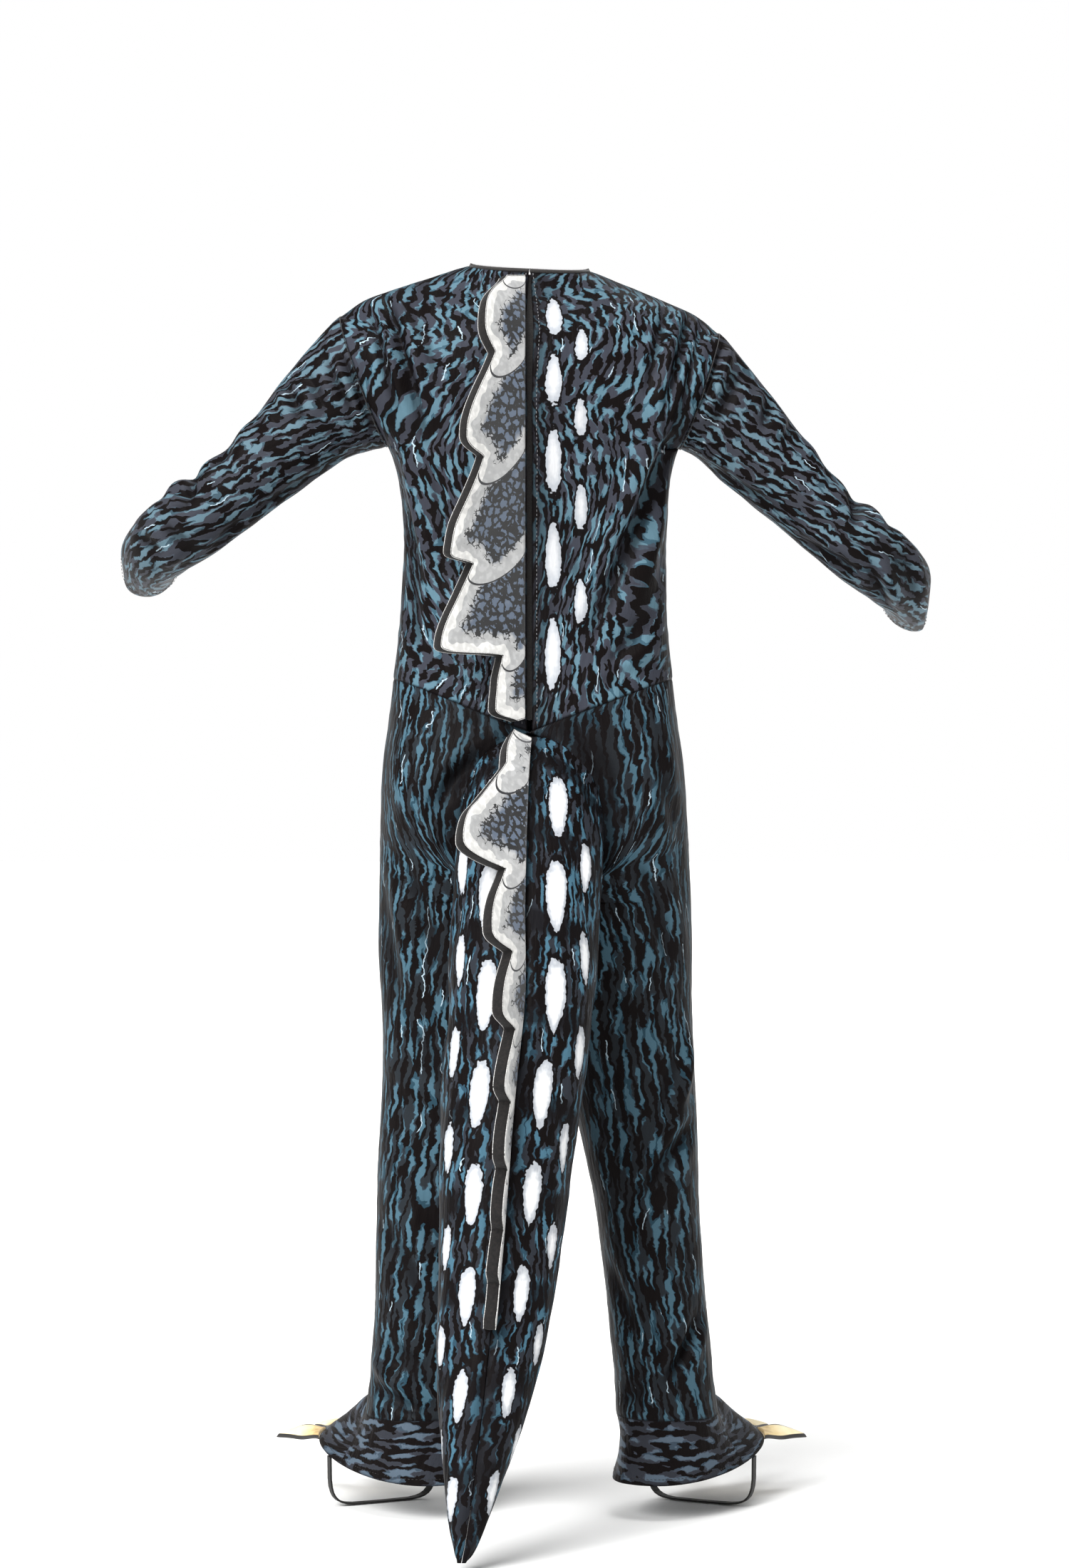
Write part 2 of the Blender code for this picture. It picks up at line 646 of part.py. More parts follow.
def strap_surface(side):
    """A strap from the hem's outer side, under the sole, to its inner side."""
    middle, reach = (FOOT_AHEAD - FOOT_BEHIND) / 2, (FOOT_AHEAD + FOOT_BEHIND) / 2

    def surface(u, v):
        forward = STRAP_FORWARD + u * STRAP_WIDTH / 2
        turn = math.asin((middle - forward) / reach)
        outer, inner = cover_hem(side, turn), cover_hem(side, math.pi - turn)
        angle = math.pi * v
        aside = math.copysign(abs(math.cos(angle)) ** 0.35, math.cos(angle))
        point = (outer + inner) / 2 + (outer - inner) / 2 * aside
        drop = math.sin(angle) ** 0.45
        top, sole = outer[2] - STRAP_GAP, STRAP_HEIGHT - ORIGIN_HEIGHT
        point[2] = top + (sole - top) * drop
        return point

    return surface


def tape_surface(u, v):
    """The fastening tape, inside the left and right back panels."""
    inset = CLOTH / 2 + TAPE_THICKNESS / 2 + 0.0009
    return back_surface(u, v) - inset * normal_at(back_surface, u, v)


def add_object(name, points, faces, material):
    mesh = bpy.data.meshes.new(name)
    mesh.from_pydata([tuple(point) for point in points], [], faces)
    mesh.materials.append(material)
    mesh.update()
    thing = bpy.data.objects.new(name, mesh)
    bpy.data.collections["reptile costume"].objects.link(thing)
    mesh.shade_smooth()
    return thing


def leg_of(name):
    """The column of the pose table for a node: only pieces of the left leg use the left one."""
    on_leg = name.startswith(("leg", "foot", "claw"))
    return "left" if on_leg and "left" in name else "right"


def add_wall(name, surface, us, vs, material, thickness=CLOTH, closed=False):
    """A grid of the surface at every (u, v), given a wall that lies half on each side."""
    points = [posed(surface(u, v), leg_of(name)) for v in vs for u in us]
    wide = len(us)
    faces = []
    for j in range(len(vs) - 1):
        for i in range(wide if closed else wide - 1):
            k = (i + 1) % wide
            low, high = j * wide, (j + 1) * wide
            faces.append((low + i, low + k, high + k, high + i))
    thing = add_object(name, points, faces, material)
    wall = thing.modifiers.new("wall", "SOLIDIFY")
    wall.thickness = thickness
    wall.offset = 0.0
    return thing


def add_tail_half(name, side, rows, turns, material):
    """One stuffed half of the tail: a closed body, flat where it meets the other half."""
    across, along = np.linspace(0, 1, turns), np.linspace(0, 1, rows)
    points = [posed(tail_point(side, row, turn)) for row in along for turn in across]
    faces = []
    for j in range(rows - 1):
        low, high = j * turns, (j + 1) * turns
        for i in range(turns - 1):
            faces.append((low + i, low + i + 1, high + i + 1, high + i))
        faces.append((low + turns - 1, low, high))
        faces.append((low + turns - 1, high, high + turns - 1))
    faces.append(tuple(range(turns))[::-1])
    faces.append(tuple((rows - 1) * turns + i for i in range(turns)))
    if side == RIGHT:
        faces = [face[::-1] for face in faces]
    return add_object(name, points, faces, material)


def add_cord(name, route, radius, sides, material):
    """A round cord along a list of points, closed at its two ends."""
    points, faces = [], []
    for i, place in enumerate(route):
        along = unit(route[min(i + 1, len(route) - 1)] - route[max(i - 1, 0)])
        across = unit(np.cross(along, np.array((0.0, 0.0, 1.0))))
        over = np.cross(across, along)
        for k in range(sides):
            angle = 2 * math.pi * k / sides
            points.append(place + radius * (across * math.cos(angle) + over * math.sin(angle)))
    for i in range(len(route) - 1):
        for k in range(sides):
            low, high, step = i * sides, (i + 1) * sides, (k + 1) % sides
            faces.append((low + k, high + k, high + step, low + step))
    faces.append(tuple(range(sides)))
    faces.append(tuple((len(route) - 1) * sides + k for k in range(sides))[::-1])
    add_object(name, points, faces, material)


def add_binding(material):
    """A round cord of cloth that binds the neck edge, open at the centre back."""
    def beyond(surface, u):
        edge = surface(u, 3.0)
        return edge + unit(edge - surface(u, 2.95)) * (BINDING_RADIUS + 0.0008)

    back = [beyond(back_surface, u) for u in np.linspace(0.04, 0.97, 9)]
    front = [beyond(front_surface, u) for u in np.linspace(0.90, -0.90, 17)]
    other = [point * np.array((-1, 1, 1)) for point in back[::-1]]
    route = [posed(point) for point in back + front + other]
    add_cord("neck_binding", route, BINDING_RADIUS, 8, material)


def new_material(name, colour, roughness):
    material = bpy.data.materials.new(name)
    material.use_nodes = True
    shader = material.node_tree.nodes["Principled BSDF"]
    shader.inputs["Base Color"].default_value = (*colour, 1.0)
    shader.inputs["Roughness"].default_value = roughness
    shader.inputs["Metallic"].default_value = 0.0
    return material


def bodice_rows():
    """Values of v, closer together near the two ends of the armhole."""
    below = np.linspace(0.0, 1.0, 11)[:-1]
    beside = np.linspace(1.0, 2.0, 9)[:-1]
    above = np.linspace(2.0, 3.0, 7)
    return [*below, *beside, *above]


def add_bodice(cloth, trim):
    rows = bodice_rows()
    inset = SEAM / 2 / 0.14
    edge = 1 - inset
    middle = OPENING / 2 / 0.17
    add_wall("bodice_back_right", back_surface, np.linspace(middle, edge, 9), rows, cloth)
    add_wall("bodice_back_left", back_surface, np.linspace(-edge, -middle, 9), rows, cloth)
    for name, side in SIDES.items():
        across = sorted(side * np.linspace(FRONT_SEAM, edge, 9))
        add_wall(f"bodice_front_{name}", front_surface, across, rows, cloth)
    reach = np.linspace(-TAPE_REACH, TAPE_REACH, 3)
    add_wall("closure_tape", tape_surface, reach, [0.04, *rows[1:-1], 2.97], trim, TAPE_THICKNESS)
    add_binding(trim)


def add_sleeves(cloth):
    around = np.arange(20) / 20
    along = [0.0, 0.04, 0.09, *np.linspace(0.14, 1.0, 18)]
    for name, side in SIDES.items():
        add_wall(f"sleeve_{name}", sleeve_surface(side), around, along, cloth, closed=True)


def add_trousers(cloth):
    below = np.linspace(0.0, 1.0, 13)[:-1]
    above = np.linspace(1.0, 2.0, 12)
    for name, side in SIDES.items():
        for part, face in (("back", BACK), ("front", FRONT)):
            across = np.linspace(0.0, 1.0, 10)
            surface = leg_surface(side, face)
            add_wall(f"leg_{part}_{name}", surface, across, [*below, *above], cloth)


def add_feet(cloth, claw, trim):
    around = np.arange(24) / 24
    for name, side in SIDES.items():
        surface = cover_surface(side)
        add_wall(f"foot_cover_{name}", surface, around, np.linspace(0, 1, 6), cloth, closed=True)
        for number, degrees in enumerate(CLAW_ANGLES, 1):
            blade = claw_surface(side, degrees)
            width, length = np.linspace(-1, 1, 3), np.linspace(0, 1, 7)
            add_wall(f"claw_{name}_{number}", blade, width, length, claw, CLAW_THICKNESS)
        width, length = np.linspace(-1, 1, 2), np.linspace(0, 1, 19)
        strap = strap_surface(side)
        add_wall(f"foot_strap_{name}", strap, width, length, trim, STRAP_THICKNESS)


def add_crests(material):
    for name, line, plates in (
        ("crest_back", back_line, BACK_PLATES),
        ("crest_tail", tail_top, TAIL_PLATES),
    ):
        surface, count = crest_surface(line, plates)
        across, along = np.linspace(0, 1, 3), np.linspace(0, 1, count)
        add_wall(name, surface, across, along, material, CREST_THICKNESS)


def main():
    for thing in list(bpy.data.objects):
        bpy.data.objects.remove(thing)
    collection = bpy.data.collections.new("reptile costume")
    bpy.context.scene.collection.children.link(collection)
    cloth = new_material("printed knit", CLOTH_COLOUR, 0.55)
    crest = new_material("printed foam cloth", CREST_COLOUR, 0.6)
    claw = new_material("claw cloth", CLAW_COLOUR, 0.6)
    trim = new_material("black trim", TRIM_COLOUR, 0.8)
    add_bodice(cloth, trim)
    add_sleeves(cloth)
    add_trousers(cloth)
    add_feet(cloth, claw, trim)
    for name, side in SIDES.items():
        add_tail_half(f"tail_{name}", side, 24, 10, cloth)
    add_crests(crest)


main()
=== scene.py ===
"""The looks of a reptile costume: a jumpsuit with a stuffed tail and a foam crest.

Metres, +Z up. The back of the garment faces -Y, and its left side lies at -X. "Height" is
above the ground, ORIGIN_HEIGHT below the origin. The shapes follow the same tables and
functions as the solids, on finer grids, with creases, seams and a printed knit.
"""

import functools
import math
from collections import namedtuple

import bpy
import numpy as np
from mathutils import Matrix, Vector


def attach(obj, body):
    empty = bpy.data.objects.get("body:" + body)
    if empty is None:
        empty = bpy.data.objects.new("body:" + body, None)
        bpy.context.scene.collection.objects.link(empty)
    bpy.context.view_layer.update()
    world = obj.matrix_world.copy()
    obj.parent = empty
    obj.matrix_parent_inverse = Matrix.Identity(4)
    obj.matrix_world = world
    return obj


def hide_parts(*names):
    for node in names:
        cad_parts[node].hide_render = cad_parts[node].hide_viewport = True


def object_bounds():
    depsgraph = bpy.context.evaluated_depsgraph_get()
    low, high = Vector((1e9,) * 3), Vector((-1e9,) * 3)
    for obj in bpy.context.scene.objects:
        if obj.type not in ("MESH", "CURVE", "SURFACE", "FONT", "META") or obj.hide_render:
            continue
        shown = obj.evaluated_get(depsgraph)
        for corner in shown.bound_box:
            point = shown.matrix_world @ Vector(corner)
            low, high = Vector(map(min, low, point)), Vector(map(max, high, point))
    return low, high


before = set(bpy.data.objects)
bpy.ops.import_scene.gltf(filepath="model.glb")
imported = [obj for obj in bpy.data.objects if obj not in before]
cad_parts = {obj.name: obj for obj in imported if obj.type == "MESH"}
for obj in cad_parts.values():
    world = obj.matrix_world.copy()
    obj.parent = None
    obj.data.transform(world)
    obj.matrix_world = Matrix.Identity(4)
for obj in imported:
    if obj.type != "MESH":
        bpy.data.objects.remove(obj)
CAD_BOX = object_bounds()

ORIGIN_HEIGHT = 1.0     # the neck opening above the ground
CLOTH = 0.0015          # wall of the knitted cloth
SEAM = 0.00045          # space between two pieces along the middle of their walls
LEFT, RIGHT = -1, 1
SIDES = {"left": LEFT, "right": RIGHT}
BACK, FRONT, TOP = -1, 1, 0

def table(columns, *rows):
    """Rows of numbers under the names in `columns`."""
    row = namedtuple("Row", columns)
    return tuple(row(*values) for values in rows)


# Torso sections, from the seat up to the neck opening
TORSO = table(
    "height half_width back_y front_y",
    (0.500, 0.1265, -0.074, 0.070), (0.560, 0.1245, -0.084, 0.078), (0.620, 0.1205, -0.086, 0.080),
    (0.650, 0.1165, -0.082, 0.078), (0.680, 0.1130, -0.078, 0.076), (0.720, 0.1090, -0.072, 0.074),
    (0.763, 0.1070, -0.069, 0.073), (0.800, 0.1065, -0.070, 0.074), (0.830, 0.1085, -0.074, 0.077),
    (0.868, 0.1175, -0.080, 0.079), (0.910, 0.1430, -0.081, 0.077), (0.950, 0.1520, -0.076, 0.070),
    (0.980, 0.1380, -0.063, 0.060), (1.006, 0.0486, -0.046, 0.048),
)

# The ridge of the shoulder, from the top of the armhole to the neck
SHOULDER = table(
    "t x height",
    (0.00, 0.1530, 0.968), (0.20, 0.1360, 0.981), (0.45, 0.1120, 0.991), (0.72, 0.0800, 1.003),
    (1.00, 0.0486, 1.014),
)

# Heights along the middle of the bodice at the waist seam, armpit, shoulder point and neck
BACK_MIDDLE = (0.636, 0.860, 0.955, 1.006)
FRONT_MIDDLE = (0.668, 0.862, 0.930, 0.972)
WAIST_SIDE = 0.680
BOXINESS = 0.80         # 1 gives an elliptical section, less gives fuller sides
THINNING = (0.0, 0.0, 0.35, 0.15)       # how much thinner the sections' sides are at those four
ARMPIT = np.array((0.1175, 0.0, 0.868))
SHOULDER_POINT = np.array((0.1530, 0.0, 0.968))
ARMHOLE_HALF_DEPTH = 0.043
ARMHOLE_BULGE = 0.004
HALF_BACK = 0.17        # width of half the back, to turn distances from its middle into shares

# Sleeve sections for the right arm, which is raised sideways and bent forward at the elbow
ARM = table(
    "t x y height half_up half_across",
    (0.00, 0.1355, 0.000, 0.916, 0.0500, 0.0430), (0.13, 0.1610, 0.001, 0.897, 0.0425, 0.0400),
    (0.27, 0.1890, 0.003, 0.870, 0.0362, 0.0360), (0.41, 0.2170, 0.005, 0.843, 0.0312, 0.0325),
    (0.55, 0.2450, 0.007, 0.818, 0.0290, 0.0305), (0.68, 0.2740, 0.014, 0.798, 0.0302, 0.0300),
    (0.80, 0.2990, 0.042, 0.782, 0.0282, 0.0280), (0.90, 0.3140, 0.080, 0.771, 0.0250, 0.0262),
    (1.00, 0.3230, 0.124, 0.763, 0.0220, 0.0255),
)
CUFF_SLANT = 0.020      # how far the cuff reaches further on its under side

# Sections of the right leg, from the seam above the foot cover to the crotch
LEG = table(
    "height outer_x inner_x back_y front_y",
    (0.082, 0.1530, 0.0710, -0.050, 0.040), (0.110, 0.1490, 0.0695, -0.051, 0.040),
    (0.150, 0.1455, 0.0660, -0.052, 0.042), (0.200, 0.1410, 0.0605, -0.053, 0.045),
    (0.273, 0.1370, 0.0500, -0.053, 0.050), (0.333, 0.1355, 0.0370, -0.055, 0.055),
    (0.400, 0.1310, 0.0220, -0.061, 0.060), (0.450, 0.1285, 0.0120, -0.067, 0.065),
    (0.500, 0.1265, 0.0045, -0.074, 0.070),
)
HEM = LEG[0].height
CROTCH = LEG[-1].height
INSTEP_RISE = 0.034     # how much higher the leg's hem runs in front than at the heel

# The pose: how far each height leans towards +X at its sides, for the left and right leg
SWAY = table(
    "height left right",
    (0.000, 0.0200, 0.0000), (0.120, 0.0195, 0.0000), (0.150, 0.0190, 0.0000), (0.200, 0.0160, 0.0000),
    (0.270, 0.0135, 0.0000), (0.333, 0.0150, 0.0000), (0.390, 0.0125, 0.0010), (0.450, 0.0065, 0.0030),
    (0.500, 0.0045, 0.0045), (0.600, 0.0030, 0.0030), (0.720, 0.0030, 0.0030), (0.800, 0.0045, 0.0045),
    (0.840, 0.0040, 0.0040), (0.900, 0.0020, 0.0020), (0.960, 0.0000, 0.0000),
)
SHOULDER_TILT = 0.045   # the left shoulder and arm are held higher than the right

# The opening in the seat that the tail is sewn into
TAIL_SEAT_HEIGHT = 0.568
TAIL_SEAT_HALF_WIDTH = 0.056
TAIL_SEAT_HALF_HEIGHT = 0.0655
UNDER_SEAT_SHARE = 0.25     # share of the centre seam that runs under the tail
CENTRE_GAP = 0.0009         # half the space between two legs at the centre seams
FRONT_SEAM = 0.0029         # where the two front panels end, as a share of the half front

# Tail sections: the crest line on top, the seam underneath, and the half width
TAIL = table(
    "top_height top_y under_height under_y x half_width",
    (0.6320, -0.084, 0.5040, -0.078, 0.000, 0.0555), (0.6080, -0.128, 0.4820, -0.092, -0.002, 0.0580),
    (0.5660, -0.163, 0.4600, -0.105, -0.004, 0.0590), (0.5080, -0.190, 0.4280, -0.116, -0.006, 0.0580),
    (0.4400, -0.212, 0.3900, -0.127, -0.008, 0.0565), (0.3520, -0.234, 0.3220, -0.144, -0.015, 0.0535),
    (0.2600, -0.250, 0.2400, -0.166, -0.022, 0.0480), (0.1800, -0.264, 0.1660, -0.193, -0.029, 0.0415),
    (0.1150, -0.276, 0.1040, -0.221, -0.036, 0.0315), (0.0580, -0.283, 0.0520, -0.247, -0.043, 0.0195),
    (0.0240, -0.283, 0.0200, -0.264, -0.048, 0.0095), (0.0080, -0.279, 0.0070, -0.273, -0.051, 0.0030),
)

# Crest plates, each swept towards the tail's end: heights at its two ends, the width of the
# crest where the plate starts and its width at the tip
BACK_PLATES = table(
    "upper lower valley reach",
    (1.000, 0.940, 0.020, 0.044), (0.940, 0.870, 0.032, 0.066), (0.870, 0.788, 0.046, 0.086),
    (0.788, 0.700, 0.058, 0.093), (0.700, 0.645, 0.024, 0.032),
)
TAIL_PLATES = table(
    "upper lower valley reach",
    (0.624, 0.600, 0.018, 0.024), (0.600, 0.528, 0.024, 0.070), (0.528, 0.466, 0.022, 0.044),
    (0.466, 0.408, 0.018, 0.038), (0.408, 0.354, 0.015, 0.032), (0.354, 0.304, 0.013, 0.027),
    (0.304, 0.258, 0.011, 0.022), (0.258, 0.218, 0.009, 0.018), (0.218, 0.184, 0.008, 0.014),
)
CREST_THICKNESS = 0.008
CREST_END = 0.008       # width of the crest at its lower end
CREST_SWEEP = math.radians(18)
CREST_LEFT_OF_MIDDLE = 0.006
PLATE_TIP = 0.72        # where the tip lies along a plate
LEAN = table(
    "height degrees",
    (0.182, 3), (0.300, 8), (0.400, 20), (0.480, 36), (0.560, 50), (0.640, 50), (1.000, 48),
)

# Foot covers, in a frame turned outwards with the foot
FOOT_TURN = math.radians(30)
FOOT_HEM_HEIGHT = 0.030
FOOT_TOE_LIFT = 0.026
FOOT_HALF_WIDTH = 0.050
FOOT_BEHIND = 0.050
FOOT_AHEAD = 0.126
CLAW_LENGTH = 0.044
CLAW_HALF_WIDTH = 0.0115
CLAW_ANGLES = (-30, 0, 30)

BINDING_RADIUS = 0.0017


@functools.lru_cache(maxsize=None)
def column(rows, key, name):
    """One column of a table against another, in rising order, with the slope at each row."""
    xs = np.array([getattr(row, key) for row in rows])
    ys = np.array([getattr(row, name) for row in rows])
    if xs[0] > xs[-1]:
        xs, ys = xs[::-1], ys[::-1]
    return xs, ys, np.gradient(ys, xs)


def curve(start, end, start_slope, end_slope, t):
    """A smooth curve that leaves `start` and arrives at `end` with the given slopes."""
    return (
        start * (1 + 2 * t) * (1 - t) ** 2
        + start_slope * t * (1 - t) ** 2
        + end * t * t * (3 - 2 * t)
        - end_slope * t * t * (1 - t)
    )


def smooth(rows, key, name, at):
    """The column `name` of a table where its column `key` equals `at`, on a smooth curve."""
    xs, ys, slopes = column(rows, key, name)
    i = np.clip(np.searchsorted(xs, at) - 1, 0, len(xs) - 2)
    span = xs[i + 1] - xs[i]
    t = np.clip((at - xs[i]) / span, 0.0, 1.0)
    return curve(ys[i], ys[i + 1], slopes[i] * span, slopes[i + 1] * span, t)


def ease(t):
    """0 below 0, 1 above 1, and a smooth step between."""
    t = np.clip(t, 0.0, 1.0)
    return t * t * (3 - 2 * t)


def bell(distance, reach):
    """1 at no distance, falling to 0.37 at `reach` and soon to nothing."""
    return np.exp(-((distance / reach) ** 2))


def xyz(x, y, z):
    return np.stack(np.broadcast_arrays(x, y, z), -1).astype(float)


def unit(vectors):
    return vectors / np.maximum(np.linalg.norm(vectors, axis=-1, keepdims=True), 1e-12)


def mix(a, b, share):
    return a + (b - a) * share


def posed(points, leg="right"):
    """Points moved from the upright, even garment into the stance it is held in."""
    height, aside = points[..., 2] + ORIGIN_HEIGHT, abs(points[..., 0])
    on_arm = ease((aside - 0.118) / 0.04) * (height > 0.70)
    near_middle = 1 - ease((aside - 0.02) / 0.07)
    sway = smooth(SWAY, "height", leg, height) * (1 - ease((height - 0.40) / 0.10) * near_middle)
    raised = 1 - (1 - ease((height - 0.84) / 0.10)) * (1 - on_arm)
    return xyz(
        points[..., 0] + sway * (1 - on_arm),
        points[..., 1],
        points[..., 2] - SHOULDER_TILT * points[..., 0] * raised,
    )


def torso(name, height):
    return smooth(TORSO, "height", name, height)


def armhole(angle):
    """Points of the right armhole: 0 at the armpit, pi at the shoulder point, back first."""
    point = mix(ARMPIT, SHOULDER_POINT, ((1 - np.cos(angle)) / 2)[..., None])
    return point + xyz(ARMHOLE_BULGE * abs(np.sin(angle)), -ARMHOLE_HALF_DEPTH * np.sin(angle), 0)


def arch(angle, thin):
    """Depth of a section: 1 in the middle, falling to 0 a quarter turn away."""
    return np.maximum(np.cos(angle), 0.0) ** BOXINESS * (1 - thin * np.sin(angle) ** 2)


def bodice_edge(v, face):
    """The outer edge of a right half panel: side seam, armhole, then shoulder seam."""
    height = mix(WAIST_SIDE, ARMPIT[2], np.clip(v, 0, 1))
    side = xyz(torso("half_width", height), 0, height)
    round_arm = armhole(-face * np.pi * (np.clip(v, 1, 2) - 1))
    top = np.clip(v - 2, 0, 1)
    shoulder = xyz(smooth(SHOULDER, "t", "x", top), 0, smooth(SHOULDER, "t", "height", top))
    v = v[..., None]
    return np.where(v <= 1, side, np.where(v <= 2, round_arm, shoulder))


def bodice(u, v, face):
    """The back or front: u from -1 at the left edge to 1 at the right, v from waist 0 to neck 3."""
    u, v = np.broadcast_arrays(u, np.clip(v, 0.0, 3.0))
    middle = np.interp(v, range(4), BACK_MIDDLE if face == BACK else FRONT_MIDDLE)
    depth = torso("back_y" if face == BACK else "front_y", middle)
    neck_y = TORSO[-1].back_y if face == BACK else TORSO[-1].front_y
    depth = depth + (neck_y - depth) * ease(v - 2.0) * 0.6
    edge = bodice_edge(v, face)
    open_side = np.where((v > 1) & (v < 2), np.sin(np.pi * (v - 1)), 0.0)
    end = np.radians(90 - 32 * open_side)
    angle = abs(u) * end
    across = np.sin(angle) / np.sin(end)
    thin = np.interp(v, range(4), THINNING)
    round_off = (1 - arch(angle, thin)) / (1 - arch(end, thin))
    lift = mix(round_off, across, 1 - ease(v / 0.6))
    return xyz(
        edge[..., 0] * across * np.copysign(1, u),
        depth + (edge[..., 1] - depth) * round_off,
        middle + (edge[..., 2] - middle) * lift - ORIGIN_HEIGHT,
    )


def sleeve(u, t, side):
    """A sleeve: u once round from the underarm over the back, t from armhole to cuff."""
    u, t = np.broadcast_arrays(u, np.clip(t, 0.0, 1.0))
    angle = 2 * np.pi * u

    def centre(at):
        at = np.clip(at, 0.0, 1.0)
        return xyz(*(smooth(ARM, "t", name, at) for name in ("x", "y", "height")))

    along = unit(centre(t + 0.02) - centre(t - 0.02))
    down = np.array((0.0, 0.0, -1.0))
    under = unit(down - along * (along @ down)[..., None])
    back = np.cross(under, along)
    half_up, half_across = (smooth(ARM, "t", name, t) for name in ("half_up", "half_across"))
    ring = centre(t) + under * (half_up * np.cos(angle))[..., None]
    ring = ring + back * (half_across * np.sin(angle))[..., None]
    slant = CUFF_SLANT * ease((t - 0.8) / 0.2) * np.cos(angle)
    ring = ring + along * slant[..., None]
    ahead = 2 * SEAM + 0.0012 * (1 + np.cos(angle)) / 2 + 0.0004 * np.maximum(-np.sin(angle), 0)
    start = armhole(angle) + xyz(ahead, 0, 0)
    points = mix(start, ring, ease(t / 0.22)[..., None]) - xyz(0, 0, ORIGIN_HEIGHT)
    return points * (side, 1, 1)


def rise(t, face):
    """The inner edge of a leg panel above the crotch: t from the crotch to the waist seam."""
    x = mix(LEG[-1].inner_x, CENTRE_GAP, ease(t / 0.08))
    crotch = xyz(x, 0.0, CROTCH - 0.002)
    if face == FRONT:
        height = mix(CROTCH - 0.002, FRONT_MIDDLE[0], np.maximum(t, 0) ** 1.3)
        return xyz(x, torso("front_y", height) * ease(t / 0.35) ** 0.65, height)
    below = xyz(x, torso("back_y", CROTCH) * 0.95, CROTCH + 0.002)
    under = mix(crotch, below, (t / UNDER_SEAT_SHARE)[..., None])
    angle = np.pi * (1 - np.clip((t - UNDER_SEAT_SHARE) / (1 - UNDER_SEAT_SHARE), 0, 1))
    height = TAIL_SEAT_HEIGHT + TAIL_SEAT_HALF_HEIGHT * np.cos(angle)
    seat = xyz(np.maximum(TAIL_SEAT_HALF_WIDTH * np.sin(angle), x), torso("back_y", height), height)
    return np.where((t < UNDER_SEAT_SHARE)[..., None], under, seat)


def trouser(u, v, face, side):
    """Half of a leg: u from the side seam to the inner edge, v 0 hem, 1 crotch, 2 waist."""
    u, v = np.broadcast_arrays(np.clip(u, 0.0, 1.0), np.clip(v, 0.0, 2.0))
    depth_name = "back_y" if face == BACK else "front_y"
    low, height = mix(HEM, CROTCH, v), mix(CROTCH, WAIST_SIDE, v - 1)
    above = v > 1
    outer = np.where(
        above[..., None],
        xyz(torso("half_width", height), 0, height),
        xyz(smooth(LEG, "height", "outer_x", low), 0, low),
    )
    inner = np.where(
        above[..., None],
        rise(np.clip(v - 1, 0, 1), face),
        xyz(smooth(LEG, "height", "inner_x", low), 0, low),
    )
    depth = np.where(above, torso(depth_name, height), smooth(LEG, "height", depth_name, low))
    angle = np.pi * u
    middle = (outer[..., 0] + inner[..., 0]) / 2
    nearer = np.where((u < 0.5)[..., None], outer, inner)
    out, bulge = abs(np.cos(angle)), np.maximum(np.sin(angle), 0) ** 0.9
    flat = ease((v - 1.1) / 0.5) if face == FRONT else ease((v - 1) / 0.12)
    flat = np.where((u > 0.5) & above, flat, 0.0)
    out = out + (2 * u - 1 - out) * flat
    bulge = bulge + (1 - ease(2 * u - 1) - bulge) * flat / 2
    x = middle + out * (nearer[..., 0] - middle)
    y = nearer[..., 1] + (depth - nearer[..., 1]) * bulge
    z = mix(outer[..., 2], inner[..., 2], (1 - np.cos(angle)) / 2) - ORIGIN_HEIGHT
    if face == FRONT:
        z = z + INSTEP_RISE * np.sin(angle) ** 2 * np.clip(1 - v, 0, 1) ** 4
    at_waist = ease((v - 1.55) / 0.45)[..., None]
    seam = bodice(1 - u, np.zeros_like(u), face) - (0.0, 0.0, SEAM + 0.0002)
    points = mix(xyz(x, y, z), seam, at_waist)
    points[..., 0] = np.maximum(points[..., 0], CENTRE_GAP)
    points[..., 1] += face * SEAM / 2 * ((v <= 1) | (u < 0.5))
    return points * (side, 1, 1)


def to_foot(side, across, forward, height):
    """Points given in the turned frame of one foot."""
    centre_x = side * (LEG[0].outer_x + LEG[0].inner_x) / 2
    turn = math.sin(FOOT_TURN), math.cos(FOOT_TURN)
    x = centre_x + side * (across * turn[1] + forward * turn[0])
    y = -0.005 + forward * turn[1] - across * turn[0]
    return xyz(x, y, height - ORIGIN_HEIGHT)


def cover_hem(side, angle):
    """Points of a foot cover's lower edge; 0 is its outer side, a quarter turn its heel."""
    middle, reach = (FOOT_AHEAD - FOOT_BEHIND) / 2, (FOOT_AHEAD + FOOT_BEHIND) / 2
    across = FOOT_HALF_WIDTH * np.copysign(abs(np.cos(angle)) ** 0.85, np.cos(angle))
    lift = FOOT_TOE_LIFT * ((1 - np.sin(angle)) / 2) ** 1.5
    return to_foot(side, across, middle - reach * np.sin(angle), FOOT_HEM_HEIGHT + lift)


def cover(u, t, side):
    """A foot cover: u once round from the outer side over the heel, t from seam to hem."""
    u, t = np.broadcast_arrays(u, t)
    angle = 2 * np.pi * u
    share = np.where(np.sin(angle) >= 0, angle / np.pi, 2 - angle / np.pi)
    back = (np.sin(angle) >= 0)[..., None]

    def leg_at(v):
        v = np.full(u.shape, v)
        return np.where(back, trouser(share, v, BACK, side), trouser(share, v, FRONT, side))

    clear = SEAM * (1.3 + 2.2 * np.maximum(-np.sin(angle), 0.0) ** 0.6)
    top = leg_at(0.0) + unit(leg_at(0.0) - leg_at(0.01)) * clear[..., None]
    return mix(top, cover_hem(side, angle), t[..., None])


